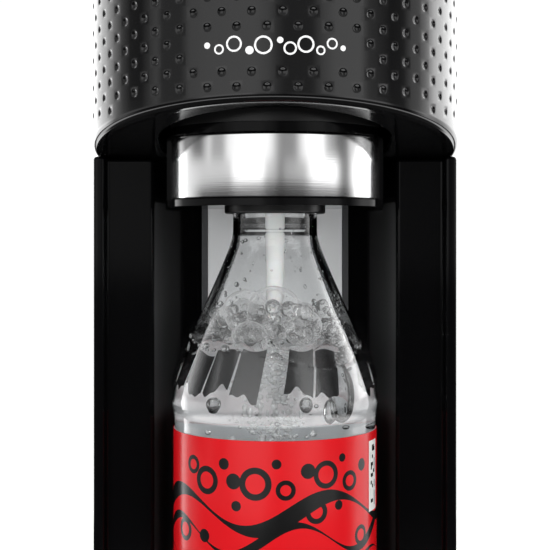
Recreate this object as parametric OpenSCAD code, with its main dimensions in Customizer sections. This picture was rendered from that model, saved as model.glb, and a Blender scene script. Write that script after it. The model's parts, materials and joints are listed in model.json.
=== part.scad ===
// Soda carbonator: a slim, hand-operated sparkling-water maker with a hanging bottle.
// Millimetres. +X is the user's right, the front faces -Y, +Z is up.
// The origin is the centre of the footprint on the floor. The lengths add up along Z:
// feet, base, column, then the head. The plan is a half circle in front and a box behind.
// Two upright axes matter: the bottle axis in front and the gas cylinder axis behind.

/* [Body] */
// Overall width, and twice the radius of the half-round nose
body_w = 130; // [128:1:134]
// Overall depth, from the nose to the back of the cover
body_d = 185; // [183:1:190]
// Radius of the two upright corners at the back
rear_corner_r = 14; // [10:1:18]
// Height of the feet
foot_h = 3.5; // [2.5:0.5:3.5]
// Top face of the base, where the column stands
base_top_z = 20; // [19.5:0.1:20]
// Width of the rim down each side of the column
rim_w = 4.2; // [3:0.2:4.6]
// Slope of the underside of the head, falling toward the back
lip_slope = 11.31; // [10.5:0.01:11.6]
// Height of the slanted underside above the centre of the nose
lip_z = 293.6; // [293:0.1:294.2]
// Wall of the head shell
head_wall = 2.8; // [2:0.1:2.9]
// Wall of the rear cover
cover_wall = 2.6; // [1.8:0.1:2.8]
// Y of the seam between head or column and the rear cover
seam_y = 48; // [46:0.5:50]

/* [Button and lever] */
// Radius of the big round button
button_r = 49.6; // [48:0.1:50]
// Highest point of the machine, on the button
top_z = 425; // [423:0.5:428]
// Radius of the stem under the button
stem_r = 8; // [7:0.1:8]
// Half width of the rocker lever
lever_half = 7; // [5:0.5:7]

/* [Bottle holder] */
// Y of the bottle axis
bottle_y = -35.5; // [-36:0.1:-35.3]
// Outer radius of the steel band
band_r = 36.5; // [36:0.1:36.8]
// Height of the steel band
band_h = 21.4; // [19:0.1:21.4]
// Outer radius of the black collar around the band
collar_r = 38; // [37.4:0.1:38.4]
// Radius of the carbonation tube
tube_r = 3.5; // [2.5:0.1:4]
// Z of the tip of the carbonation tube
tube_tip_z = 240; // [225:1:250]
// Half angle that each latch jaw covers
jaw_half_angle = 30; // [20:1:32]

/* [Bottle] */
// Z of the bottom of the hanging bottle
bottle_z = 42; // [41:0.5:44]
// Wall of the bottle
bottle_wall = 1; // [0.6:0.1:1.2]
// Lower edge of the label
label_low_z = 96; // [90:1:130]
// Upper edge of the label
label_top_z = 198; // [180:1:198]

/* [Gas cylinder] */
// Radius of the gas cylinder
cylinder_r = 30; // [27:0.5:30]
// Y of the cylinder axis
cylinder_y = 52; // [51:0.5:52]

/* [Drip tray] */
// Half width of the drip tray
tray_half = 42.2; // [40:0.1:42.3]
// Width of each slot in the grille
slot_w = 4; // [3:0.2:4.4]

/* [Node] */
// Which node to draw, or all of them

/* [Hidden] */
$fn = 96;

half_w = body_w / 2;
back_y = body_d / 2;
nose_y = half_w - body_d / 2;
gap = 0.3;
shell_top_z = 404;
cover_top_z = 410;
pivot_y = 76;
pivot_z = 384;
lever_low_z = pivot_z - 3;
lever_top_z = pivot_z + 3;
tilt_y = -8;
tilt_z = 318;
deck_z = 346;
deck_top_z = 350;
hose_z = 362;
hose_r = 2.75;
hose_bend_r = 15;
band_low_z = 277.1;
shelf_low_z = base_top_z;
shelf_top_z = base_top_z + 4;
button_dome_r = 208;
base_screw_at = [[52, -20], [-52, -20], [42, 62], [-42, 62]];
chassis_screw_at = [[28.5, 21.5], [-28.5, 21.5], [29, 72], [-29, 72]];
holder_screw_at = [[15, 26], [-15, 26], [15, -26], [-15, -26]];

// The plan of the body, drawn in by an inset: a half circle in front, round corners behind.
module plan2d(inset) {
    translate([0, nose_y]) circle(r = half_w - inset);
    translate([-half_w + inset, nose_y])
        square([body_w - 2 * inset, back_y - rear_corner_r - nose_y]);
    translate([-half_w + rear_corner_r, nose_y])
        square([body_w - 2 * rear_corner_r, back_y - inset - nose_y]);
    for (s = [-1, 1])
        translate([s * (half_w - rear_corner_r), back_y - rear_corner_r])
            circle(r = rear_corner_r - inset);
}

module plan_solid(inset, z0, z1) {
    translate([0, 0, z0]) linear_extrude(z1 - z0) plan2d(inset);
}

// Everything above the slanted underside of the head, raised by lift.
module above_lip(lift) {
    translate([0, nose_y, lip_z + lift]) rotate([-lip_slope, 0, 0])
        translate([-150, -200, 0]) cube([300, 400, 300]);
}

module box(x0, x1, y0, y1, z0, z1) {
    translate([x0, y0, z0]) cube([x1 - x0, y1 - y0, z1 - z0]);
}

module rod(x, y, z0, z1, r) {
    translate([x, y, z0]) cylinder(h = z1 - z0, r = r);
}

module rod_x(x0, x1, y, z, r) {
    translate([x0, y, z]) rotate([0, 90, 0]) cylinder(h = x1 - x0, r = r);
}

module rod_y(x, y0, y1, z, r) {
    translate([x, y0, z]) rotate([-90, 0, 0]) cylinder(h = y1 - y0, r = r);
}

// A pan-head screw with a hex socket. Its head is from z to z + 2, its shank goes down.
module screw_down(x, y, z, len) {
    difference() {
        union() {
            rod(x, y, z, z + 2, 3);
            rod(x, y, z - len, z + 0.5, 1.5);
        }
        translate([x, y, z + 0.9]) cylinder(h = 2, r = 1.5, $fn = 6);
    }
}

// A coil spring along +Z whose wire is round in section.
module coil(coil_r, wire_r, height, turns) {
    pitch = height / turns;
    steps = 10;
    points = [for (i = [0:steps - 1])
        let (phi = 360 * i / steps,
            radius = coil_r + wire_r * cos(phi),
            turn = 360 * wire_r * sin(phi) / pitch)
        [radius * cos(turn), radius * sin(turn)]];
    linear_extrude(height = height, twist = -360 * turns, slices = 20 * turns, $fn = steps)
        polygon(points);
}

// ---- Base ----

module rubber_feet() {
    color([0.1, 0.1, 0.1]) {
        for (p = [[40, -60], [-40, -60], [45, 72], [-45, 72]])
            rod(p[0], p[1], 0, foot_h, 7);
    }
}

module base_plate() {
    color([0.16, 0.16, 0.17]) difference() {
        plan_solid(3.2, foot_h, foot_h + 2.5);
        for (p = base_screw_at)
            rod(p[0], p[1], foot_h - 1, foot_h + 4, 1.6);
    }
}

module base_screws() {
    color([0.7, 0.7, 0.72]) {
        for (p = base_screw_at)
            translate([0, 0, foot_h]) mirror([0, 0, 1]) screw_down(p[0], p[1], 0, 9);
    }
}

module base_housing() {
    bay_half = 42.5;
    color([0.03, 0.03, 0.035]) difference() {
        union() {
            difference() {
                plan_solid(0, foot_h, base_top_z);
                difference() {
                    plan_solid(2.8, foot_h - 1, base_top_z - 2.6);
                    box(-bay_half - 2.6, bay_half + 2.6, -100, 0.6, foot_h + 2.8, base_top_z);
                }
            }
            for (p = base_screw_at)
                rod(p[0], p[1], foot_h + 2.6, base_top_z - 2, 4);
            for (p = chassis_screw_at)
                rod(p[0], p[1], 10, base_top_z - 2, 4);
        }
        box(-bay_half, bay_half, -100, -2, foot_h + 5.1, base_top_z + 1);
        for (p = base_screw_at)
            rod(p[0], p[1], foot_h, foot_h + 9.5, 1.55);
        for (p = chassis_screw_at)
            rod(p[0], p[1], 9, base_top_z + 1, 1.55);
    }
}

module tray_plan(z0, z1, inset) {
    intersection() {
        plan_solid(inset, z0, z1);
        box(-tray_half + inset, tray_half - inset, -100, -2.4 - inset, z0 - 1, z1 + 1);
    }
}

// The inside of the tray, with round rear corners so that the grille lifts clear of the column.
module tray_well(z0, z1, inset) {
    intersection() {
        tray_plan(z0, z1, inset);
        union() {
            rod(0, bottle_y, z0 - 1, z1 + 1, 47 - inset);
            box(-60, 60, -100, bottle_y, z0 - 1, z1 + 1);
        }
    }
}

module drip_tray() {
    low = foot_h + 5.2;
    color([0.035, 0.035, 0.04]) difference() {
        tray_plan(low, base_top_z, 0);
        tray_well(low + 1.8, base_top_z - 2.5, 3.4);
        tray_well(base_top_z - 2.5, base_top_z + 1, 2);
    }
}

module drip_grille() {
    pitch = 8;
    color([0.62, 0.63, 0.65]) difference() {
        tray_well(base_top_z - 2.4, base_top_z - 0.4, 2.2);
        for (i = [-4:4])
            box(i * pitch - slot_w / 2, i * pitch + slot_w / 2, -72, -11,
                base_top_z - 4, base_top_z + 1);
        for (i = [-2:2])
            box(i * pitch - slot_w / 2, i * pitch + slot_w / 2, -82, -76,
                base_top_z - 4, base_top_z + 1);
    }
}

// ---- Column ----

module front_housing() {
    face_y = nose_y + 4;
    color([0.02, 0.02, 0.022]) difference() {
        union() {
            for (s = [-1, 1]) {
                x0 = s > 0 ? half_w - rim_w : -half_w;
                box(x0, x0 + rim_w, nose_y, seam_y - gap, base_top_z, 320);
                x1 = s > 0 ? 43.9 : -half_w + rim_w - 0.4;
                box(x1, x1 + half_w - rim_w + 0.4 - 43.9, face_y, face_y + 2.6, base_top_z, 320);
            }
            difference() {
                rod(0, bottle_y, base_top_z, 320, 48);
                rod(0, bottle_y, base_top_z - 1, 321, 45.5);
                box(-60, 60, -100, face_y, base_top_z - 1, 321);
            }
        }
        above_lip(-gap);
    }
}

module insert_ring(r0, r1, half, z0, z1) {
    intersection() {
        difference() {
            rod(0, bottle_y, z0, z1, r1);
            rod(0, bottle_y, z0 - 1, z1 + 1, r0);
        }
        box(-half, half, -20, 20, z0 - 1, z1 + 1);
    }
}

module column_insert() {
    color([0.72, 0.73, 0.74]) insert_ring(44.5, 45.4, 25.4, 32.2, 277.8);
}

module insert_trim() {
    color([0.2, 0.2, 0.21]) difference() {
        insert_ring(44.1, 45.4, 27.6, 30, 280);
        box(-25.5, 25.5, -30, 30, 32.1, 277.9);
    }
}

// ---- Head ----

module head_underside() {
    color([0.03, 0.03, 0.035]) difference() {
        intersection() {
            plan_solid(head_wall + 0.3, 270, 330);
            above_lip(gap);
            box(-70, 70, -100, seam_y - 1, 270, 330);
        }
        above_lip(gap + 2.5);
        rod(0, bottle_y, 260, 340, 40);
        rod(0, bottle_y - 8, 260, 340, 40);
        box(-40, 40, bottle_y - 8, bottle_y, 260, 340);
        box(-38, 38, 12.5, 60, 260, 340);
    }
}

module head_shell() {
    color([0.02, 0.02, 0.022]) difference() {
        intersection() {
            plan_solid(0, 270, shell_top_z);
            above_lip(0);
            box(-70, 70, -100, seam_y - gap, 260, 410);
        }
        plan_solid(head_wall, 260, shell_top_z + 1);
    }
}

module top_cover() {
    color([0.025, 0.025, 0.03]) difference() {
        union() {
            plan_solid(0, shell_top_z, cover_top_z - 1.2);
            plan_solid(1.2, cover_top_z - 1.3, cover_top_z);
            rod(0, nose_y, shell_top_z - 6.7, shell_top_z + 1, 52.5);
            difference() {
                intersection() {
                    plan_solid(head_wall + 0.3, shell_top_z - 3, shell_top_z + 1);
                    box(-70, 70, -100, seam_y - 1, 390, 410);
                }
                plan_solid(head_wall + 2.3, shell_top_z - 4, shell_top_z + 2);
            }
        }
        rod(0, nose_y, 390, 420, button_r + 0.9);
        rod(0, nose_y, cover_top_z - 1.9, 420, 54.4);
    }
}

module button_trim_ring() {
    color([0.75, 0.76, 0.78]) difference() {
        rod(0, nose_y, cover_top_z - 1.8, cover_top_z + 0.6, 54.3);
        rod(0, nose_y, 390, 420, button_r + 0.9);
    }
}

module button_guide() {
    color([0.08, 0.08, 0.085]) difference() {
        union() {
            intersection() {
                plan_solid(head_wall + 0.4, 394, 397);
                box(-70, 70, -100, 10, 390, 400);
            }
            rod(0, nose_y, 390.2, 395, 12);
            for (a = [0, 60, 120])
                translate([0, nose_y, 391.5]) rotate([0, 0, a])
                    box(-34, 34, -1, 1, 0, 3);
        }
        rod(0, nose_y, 380, 400, stem_r + 0.06);
    }
}

module button_spring() {
    color([0.7, 0.71, 0.73])
        translate([0, nose_y, 397.2]) coil(11.4, 0.8, 21, 5);
}

module carbonation_button() {
    color([0.03, 0.03, 0.033]) difference() {
        intersection() {
            rod(0, nose_y, 405.6, 430, button_r);
            translate([0, nose_y, top_z - button_dome_r]) sphere(r = button_dome_r, $fn = 180);
        }
        intersection() {
            rod(0, nose_y, 400, 430, button_r - 2.2);
            translate([0, nose_y, top_z - button_dome_r])
                sphere(r = button_dome_r - 2.4, $fn = 180);
        }
    }
}

module button_stem() {
    color([0.55, 0.56, 0.58]) {
        intersection() {
            rod(0, nose_y, 380, 419, stem_r);
            translate([0, nose_y, lever_top_z + 0.4 + 14]) sphere(r = 14);
        }
        rod(0, nose_y, 395, 419, stem_r);
        rod(0, nose_y, 418.4, 421.6, 16);
    }
}

module lever_bracket() {
    color([0.66, 0.67, 0.69]) difference() {
        union() {
            for (s = [-1, 1]) {
                x0 = s > 0 ? lever_half + 1 : -lever_half - 4;
                box(x0, x0 + 3, 70.5, 81.5, deck_top_z, 389.5);
            }
            box(-lever_half - 4, lever_half + 4, 70.5, 83, deck_top_z, deck_top_z + 3);
        }
        rod_x(-20, 20, pivot_y, pivot_z, 3.02);
    }
}

module lever_pin() {
    color([0.6, 0.61, 0.63]) {
        rod_x(-lever_half - 4.6, lever_half + 4.6, pivot_y, pivot_z, 3);
        rod_x(lever_half + 4.5, lever_half + 5.9, pivot_y, pivot_z, 4.4);
        rod_x(-lever_half - 5.9, -lever_half - 4.5, pivot_y, pivot_z, 4.4);
    }
}

module rocker_lever() {
    color([0.5, 0.51, 0.53]) difference() {
        union() {
            box(-lever_half + 2, lever_half - 2, nose_y - 4, pivot_y, lever_low_z, lever_top_z);
            rod(0, nose_y - 4, lever_low_z, lever_top_z, lever_half - 2);
            rod(0, nose_y, lever_low_z, lever_top_z, 9);
            box(-lever_half, lever_half, 20, 40, lever_low_z, lever_top_z);
            rod(0, cylinder_y, lever_low_z, lever_top_z, lever_half);
            rod_x(-lever_half, lever_half, pivot_y, pivot_z, 5.4);
        }
        rod_x(-20, 20, pivot_y, pivot_z, 3.05);
        box(-2, 2, -12, 12, lever_low_z - 1, lever_top_z + 1);
    }
}

// ---- Gas valve and cylinder ----

module actuator_plunger() {
    color([0.72, 0.6, 0.32]) intersection() {
        rod(0, cylinder_y, 365, 381, 3.5);
        translate([0, cylinder_y, lever_low_z - 0.4 - 12]) sphere(r = 12);
    }
}

module valve_block() {
    color([0.6, 0.61, 0.63]) difference() {
        union() {
            rod(0, cylinder_y, deck_top_z, 374, 17);
            box(-24, 24, cylinder_y - 9, cylinder_y + 9, deck_top_z, deck_top_z + 5);
            rod_y(0, cylinder_y - 21, cylinder_y - 5, hose_z, 6);
        }
        rod(0, cylinder_y, deck_top_z - 1, 363, 10.58);
        rod(0, cylinder_y, deck_top_z - 1, deck_top_z + 0.8, 13.4);
        rod(0, cylinder_y, 362, 380, 3.55);
        rod_y(0, cylinder_y - 30, cylinder_y - 9, hose_z, 1.55);
        rod_x(9, 30, cylinder_y, 368, 1.5);
        for (s = [-1, 1])
            rod(s * 20.5, cylinder_y, deck_top_z - 1, deck_top_z + 8, 1.55);
    }
}

module valve_block_screws() {
    color([0.7, 0.7, 0.72]) {
        for (s = [-1, 1])
            screw_down(s * 20.5, cylinder_y, deck_top_z + 5, 9);
    }
}

module valve_fitting() {
    color([0.75, 0.6, 0.3]) {
        translate([0, cylinder_y - 21.05, hose_z]) rotate([90, 0, 0])
            cylinder(h = 4, r = 5, $fn = 6);
        rod_y(0, cylinder_y - 31, cylinder_y - 11.5, hose_z, 1.5);
    }
}

module safety_valve() {
    color([0.75, 0.6, 0.3]) {
        rod_x(17, 20.5, cylinder_y, 368, 5);
        rod_x(20.4, 28, cylinder_y, 368, 3.4);
        rod_x(10, 17.2, cylinder_y, 368, 1.45);
        rod_x(28, 29.5, cylinder_y, 368, 4.2);
    }
}

module gas_hose() {
    x_c = bottle_y + hose_bend_r;
    z_c = hose_z - hose_bend_r;
    color([0.12, 0.12, 0.13]) {
        difference() {
            rod(0, bottle_y, 335.8, z_c, hose_r);
            rod(0, bottle_y, 330, z_c + 1, 1.56);
        }
        translate([0, x_c, z_c]) rotate([90, 0, -90]) rotate_extrude(angle = 90)
            translate([hose_bend_r, 0]) difference() {
                circle(r = hose_r);
                circle(r = 1.56);
            }
        difference() {
            rod_y(0, x_c, cylinder_y - 25.2, hose_z, hose_r);
            rod_y(0, x_c - 1, cylinder_y - 20, hose_z, 1.56);
        }
    }
}

module chassis() {
    color([0.6, 0.62, 0.64]) difference() {
        union() {
            box(-36, 36, 14, 17, shelf_low_z, deck_top_z);
            box(-36, -33, 14, 76, shelf_low_z, deck_top_z);
            box(33, 36, 14, 76, shelf_low_z, deck_top_z);
            box(-36, 36, 14, 76, shelf_low_z, shelf_top_z);
            box(-36, 36, 14, 76, deck_z, deck_top_z);
            box(-14, 14, 70, 84, deck_z, deck_top_z);
        }
        rod(0, cylinder_y, deck_z - 1, deck_top_z + 1, 14.5);
        for (p = chassis_screw_at)
            rod(p[0], p[1], shelf_low_z - 1, shelf_top_z + 1, 1.6);
        for (s = [-1, 1]) {
            rod(s * 20.5, cylinder_y, deck_z - 1, deck_top_z + 1, 1.55);
            rod_y(s * 24, 10, 20, 310, 1.55);
            rod_y(s * 24, 10, 20, 325, 1.55);
        }
    }
}

module chassis_screws() {
    color([0.7, 0.7, 0.72]) {
        for (p = chassis_screw_at)
            screw_down(p[0], p[1], shelf_top_z, 9);
    }
}

module cylinder_saddle() {
    color([0.1, 0.1, 0.11]) difference() {
        union() {
            rod(0, cylinder_y, 168, 184, cylinder_r + 2.8);
            box(-12, 12, 17, 26, 168, 184);
        }
        rod(0, cylinder_y, 160, 190, cylinder_r + 0.4);
        box(-50, 50, 72, 100, 160, 190);
    }
}

module co2_cylinder() {
    bottom = shelf_top_z + 2.4;
    r = cylinder_r;
    outer_arc = [for (a = [0:15:75]) [r - 20 + 20 * cos(a), 317 + 20 * sin(a)]];
    inner_arc = [for (a = [75:-15:0]) [r - 20 + 17 * cos(a), 317 + 17 * sin(a)]];
    foot_arc = [for (a = [-90:22.5:0]) [r - 6 + 6 * cos(a), bottom + 6 + 6 * sin(a)]];
    color([0.45, 0.5, 0.54]) translate([0, cylinder_y, 0]) rotate_extrude()
        polygon(concat([[0, bottom]], foot_arc, outer_arc,
            [[12, 337], [12, 340], [8, 340], [8, 334]], inner_arc,
            [[r - 3, bottom + 8], [r - 7, bottom + 4], [0, bottom + 4]]));
}

module cylinder_valve() {
    color([0.75, 0.6, 0.3]) difference() {
        union() {
            rod(0, cylinder_y, 330, 341, 7.9);
            rod(0, cylinder_y, 340, 347.5, 13);
            rod(0, cylinder_y, 347.4, 362, 9.4);
            for (i = [0:5])
                rod(0, cylinder_y, 352 + 1.7 * i, 352.9 + 1.7 * i, 10.5);
        }
        rod(0, cylinder_y, 344, 363, 1.25);
    }
}

module cylinder_washer() {
    color([0.85, 0.85, 0.82]) difference() {
        rod(0, cylinder_y, 347.6, 349.6, 12.5);
        rod(0, cylinder_y, 340, 360, 9.5);
    }
}

module valve_pin() {
    color([0.8, 0.8, 0.82]) rod(0, cylinder_y, 348, 364.7, 1.2);
}

// ---- Bottle holder ----

module holder_bracket() {
    color([0.6, 0.62, 0.64]) difference() {
        union() {
            for (s = [-1, 1]) {
                x0 = s > 0 ? 31 : -34;
                box(x0, x0 + 3, tilt_y, 14, tilt_z - 6.5, tilt_z + 10);
                rod_x(x0, x0 + 3, tilt_y, tilt_z, 6.5);
            }
            box(-34, 34, 10.5, 14, 305, 330);
        }
        rod_x(-40, 40, tilt_y, tilt_z, 3.02);
        for (s = [-1, 1])
            for (z = [310, 325])
                rod_y(s * 24, 5, 20, z, 1.6);
    }
}

module bracket_screws() {
    color([0.7, 0.7, 0.72]) {
        for (s = [-1, 1])
            for (z = [310, 325])
                translate([s * 24, 10.5, z]) rotate([90, 0, 0]) screw_down(0, 0, 0, 9);
    }
}

module tilt_pin() {
    color([0.62, 0.63, 0.65]) {
        rod_x(-34.8, 34.8, tilt_y, tilt_z, 3);
        rod_x(34.7, 36.2, tilt_y, tilt_z, 4.6);
        rod_x(-36.2, -34.7, tilt_y, tilt_z, 4.6);
    }
}

module holder_housing() {
    floor_z = 277.3;
    color([0.03, 0.03, 0.033]) difference() {
        union() {
            rod(0, bottle_y, 274.7, 298.7, collar_r);
            rod(0, bottle_y, 298.5, 302, band_r);
        }
        difference() {
            rod(0, bottle_y, band_low_z - 0.1, 298.6, collar_r + 1);
            rod(0, bottle_y, band_low_z - 1, 300, band_r - 1.4);
            box(-50, 50, bottle_y, 50, 270, 300);
        }
        rod(0, bottle_y, 270, 280, 17.75);
        rod(0, bottle_y, floor_z, 303, 24.2);
        for (p = holder_screw_at)
            rod(p[0], bottle_y + p[1], 296, 303, 1.55);
    }
}

module holder_cap() {
    color([0.05, 0.05, 0.055]) difference() {
        union() {
            rod(0, bottle_y, 302, 308, band_r);
            for (s = [-1, 1]) {
                x0 = s > 0 ? 24 : -29;
                box(x0, x0 + 5, tilt_y - 8, tilt_y, 305, tilt_z);
                box(x0, x0 + 5, tilt_y - 9, tilt_y - 1, 305, 316);
                rod_x(x0, x0 + 5, tilt_y, tilt_z, 7.5);
            }
        }
        rod_x(-40, 40, tilt_y, tilt_z, 3.06);
        rod(0, bottle_y, 300, 310, 8.1);
        for (p = holder_screw_at)
            rod(p[0], bottle_y + p[1], 300, 310, 1.6);
    }
}

module holder_screws() {
    color([0.7, 0.7, 0.72]) {
        for (p = holder_screw_at)
            screw_down(p[0], bottle_y + p[1], 308, 11);
    }
}

module steel_band() {
    color([0.78, 0.79, 0.8]) difference() {
        rod(0, bottle_y, band_low_z, band_low_z + band_h, band_r);
        rod(0, bottle_y, band_low_z - 1, 300, band_r - 1.3);
        box(-50, 50, bottle_y - 0.2, 50, 270, 300);
    }
}

module neck_collar() {
    color([0.05, 0.05, 0.055]) difference() {
        rod(0, bottle_y, 272.4, 277, 17.7);
        rod(0, bottle_y, 270, 280, 16.7);
    }
}

module bottle_seal() {
    color([0.12, 0.12, 0.12]) difference() {
        rod(0, bottle_y, 299.6, 302, 14);
        rod(0, bottle_y, 299, 303, 9);
    }
}

module nozzle_block() {
    color([0.88, 0.88, 0.87]) difference() {
        union() {
            rod(0, bottle_y, 308, 332, 13);
            rod(0, bottle_y, 296.5, 309, 7.5);
        }
        rod(0, bottle_y, 290, 312.2, tube_r + 0.02);
        rod(0, bottle_y, 312, 334, 1.56);
        rod_x(5, 20, bottle_y, 322, 1.5);
    }
}

module holder_fitting() {
    color([0.75, 0.6, 0.3]) {
        translate([0, bottle_y, 332]) cylinder(h = 3.5, r = 5, $fn = 6);
        rod(0, bottle_y, 322, 343.5, 1.5);
    }
}

module relief_valve() {
    color([0.75, 0.6, 0.3]) {
        rod_x(6, 13.2, bottle_y, 322, 1.45);
        rod_x(13, 16.5, bottle_y, 322, 4.6);
        rod_x(16.4, 21.5, bottle_y, 322, 3.2);
    }
}

module carbonation_tube() {
    color([0.92, 0.92, 0.91]) difference() {
        union() {
            rod(0, bottle_y, tube_tip_z + tube_r, 312, tube_r);
            translate([0, bottle_y, tube_tip_z + tube_r]) sphere(r = tube_r);
        }
        rod(0, bottle_y, tube_tip_z + 3, 313, 1.4);
        rod(0, bottle_y, tube_tip_z - 1, tube_tip_z + 4, 0.6);
    }
}

// A jaw is a sector of a ring whose inside face is a steep cone, wider at the top.
module jaw(side) {
    z0 = 277.6;
    z1 = 281;
    color([0.75, 0.76, 0.78]) intersection() {
        difference() {
            rod(0, bottle_y, z0, z1, 19);
            translate([0, bottle_y, z0 - 2]) cylinder(h = 8, r1 = 14.55, r2 = 16.55);
        }
        translate([0, bottle_y, z0 - 1]) linear_extrude(6)
            polygon([[0, 0], [side * 40, 40 * tan(jaw_half_angle)],
                [side * 40, -40 * tan(jaw_half_angle)]]);
    }
}

module latch_jaw_left() {
    jaw(-1);
}

module latch_jaw_right() {
    jaw(1);
}

// ---- Bottle ----

module bottle_outer() {
    translate([0, bottle_y, 0]) rotate_extrude() polygon([
        [0, bottle_z + 3], [20, bottle_z], [27, bottle_z], [31, bottle_z + 1],
        [33.6, bottle_z + 3.5], [35, bottle_z + 8], [35.4, bottle_z + 14], [35.4, 94],
        [35.15, 95], [35.15, 200], [35.4, 203], [35.9, 206], [36, 208], [35.3, 212],
        [33.9, 216.6], [31.4, 224.3], [29.7, 229], [27, 235.5], [24.7, 240.4], [22.2, 246],
        [19.7, 251.7], [17.4, 257.3], [15.8, 261.8], [14.9, 264.5], [14.8, 272.4],
        [14.35, 276], [16.4, 284.2], [16.4, 286], [13, 287], [13, 299.5], [0, 299.5]]);
}

module bottle_inner() {
    w = bottle_wall;
    translate([0, bottle_y, 0]) rotate_extrude() polygon([
        [0, bottle_z + 5], [20, bottle_z + 2], [27, bottle_z + 2], [31 - w, bottle_z + 3],
        [33.6 - w, bottle_z + 5], [35 - w, bottle_z + 9], [35.4 - w, bottle_z + 15],
        [35.15 - w, 95], [35.15 - w, 200], [35.4 - w, 203], [36 - w, 208],
        [35.3 - w, 211.6], [33.9 - w, 216], [31.4 - w, 223.7], [29.7 - w, 228.4],
        [27 - w, 234.8], [24.7 - w, 239.6], [22.2 - w, 245.2], [19.7 - w, 250.8],
        [17.4 - w, 256.3], [15.8 - w, 260.5], [13, 263.5], [11.6, 267], [11.6, 310], [0, 310]]);
}

module bottle_shell() {
    color([0.8, 0.9, 0.95, 0.4]) difference() {
        union() {
            bottle_outer();
            for (z = [289, 292.4, 295.8])
                rod(0, bottle_y, z, z + 1.3, 13.9);
        }
        bottle_inner();
    }
}

module bottle_label() {
    color([0.75, 0.08, 0.07]) difference() {
        rod(0, bottle_y, label_low_z, label_top_z, 35.6);
        rod(0, bottle_y, label_low_z - 1, label_top_z + 1, 35.2);
    }
}

// ---- Rear cover ----

module rear_cover() {
    color([0.02, 0.02, 0.022]) difference() {
        union() {
            difference() {
                plan_solid(0, base_top_z + gap, shell_top_z - gap);
                plan_solid(cover_wall, base_top_z - 1, shell_top_z + 1);
                box(-80, 80, -100, seam_y, 0, 420);
            }
            for (s = [-1, 1]) {
                x0 = s > 0 ? 12.6 : -14.2;
                box(x0, x0 + 1.6, 77, back_y - 1, 391.4, 403.2);
            }
            box(-14.2, 14.2, 77, 78.6, 391.4, 403.2);
            for (s = [-1, 1]) {
                x1 = s > 0 ? half_w - cover_wall - 1.4 : -half_w + cover_wall - 0.4;
                for (z = [60, 200, 340])
                    box(x1, x1 + 1.8, seam_y + 1, seam_y + 13, z, z + 10);
            }
        }
        box(-10.3, 10.3, 88, 100, 393.3, 401.5);
    }
}

module latch_button() {
    color([0.3, 0.3, 0.31]) {
        box(-10, 10, back_y - 4.9, back_y - 0.2, 393.6, 401.2);
        box(-12.3, 12.3, back_y - 4.9, back_y - 2.8, 392.4, 402.4);
        rod_y(0, 81.8, back_y - 4.8, 397.4, 1.8);
    }
}

module latch_spring() {
    color([0.7, 0.71, 0.73])
        translate([0, 78.7, 397.4]) rotate([-90, 0, 0]) coil(3, 0.4, 8.8, 4);
}

rubber_feet();
base_plate();
base_screws();
base_housing();
drip_tray();
drip_grille();
front_housing();
column_insert();
insert_trim();
head_underside();
head_shell();
top_cover();
button_trim_ring();
button_guide();
button_spring();
carbonation_button();
button_stem();
rocker_lever();
lever_pin();
lever_bracket();
actuator_plunger();
valve_pin();
valve_block();
valve_fitting();
safety_valve();
valve_block_screws();
gas_hose();
chassis();
chassis_screws();
cylinder_saddle();
co2_cylinder();
cylinder_valve();
cylinder_washer();
holder_bracket();
bracket_screws();
tilt_pin();
holder_housing();
holder_cap();
steel_band();
neck_collar();
bottle_seal();
nozzle_block();
carbonation_tube();
relief_valve();
holder_screws();
holder_fitting();
latch_jaw_left();
latch_jaw_right();
bottle_shell();
bottle_label();
rear_cover();
latch_button();
latch_spring();
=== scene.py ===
"""Looks of a slim, hand-operated soda carbonator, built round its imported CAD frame.

Everything is in metres, in the frame of the CAD: +X is right, -Y is the front and +Z is up.
Each sub-assembly is a class that holds its sizes, shapes its meshes and dresses them.
"""

import json
import logging
import math
import random
from collections.abc import Iterable, Sequence
from dataclasses import dataclass, field
from enum import Enum

import bmesh
import bpy
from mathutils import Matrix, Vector


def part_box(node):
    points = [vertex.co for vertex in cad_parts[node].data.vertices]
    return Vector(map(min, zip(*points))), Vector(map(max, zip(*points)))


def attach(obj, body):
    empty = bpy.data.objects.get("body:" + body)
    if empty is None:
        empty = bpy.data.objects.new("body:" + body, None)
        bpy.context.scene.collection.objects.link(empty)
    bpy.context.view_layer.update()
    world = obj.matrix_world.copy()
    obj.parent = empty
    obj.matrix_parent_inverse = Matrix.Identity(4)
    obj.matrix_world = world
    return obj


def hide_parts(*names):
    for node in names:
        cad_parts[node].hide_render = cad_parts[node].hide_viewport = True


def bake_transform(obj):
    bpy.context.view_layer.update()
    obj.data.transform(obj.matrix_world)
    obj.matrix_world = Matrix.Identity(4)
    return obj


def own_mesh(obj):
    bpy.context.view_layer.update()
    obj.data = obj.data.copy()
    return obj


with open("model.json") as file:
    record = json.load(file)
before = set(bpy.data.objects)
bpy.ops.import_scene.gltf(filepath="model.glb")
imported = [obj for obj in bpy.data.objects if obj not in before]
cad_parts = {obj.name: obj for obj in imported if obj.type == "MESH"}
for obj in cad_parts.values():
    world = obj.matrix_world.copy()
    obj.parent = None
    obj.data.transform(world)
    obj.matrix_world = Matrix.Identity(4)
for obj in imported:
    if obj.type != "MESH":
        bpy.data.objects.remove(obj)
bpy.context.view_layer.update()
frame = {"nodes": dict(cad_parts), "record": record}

MM = 0.001
LOG = logging.getLogger("carbonator")

Point2 = tuple[float, float]
Point3 = tuple[float, float, float]
Colour = tuple[float, float, float]


# ---- Shader node groups ----


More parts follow.
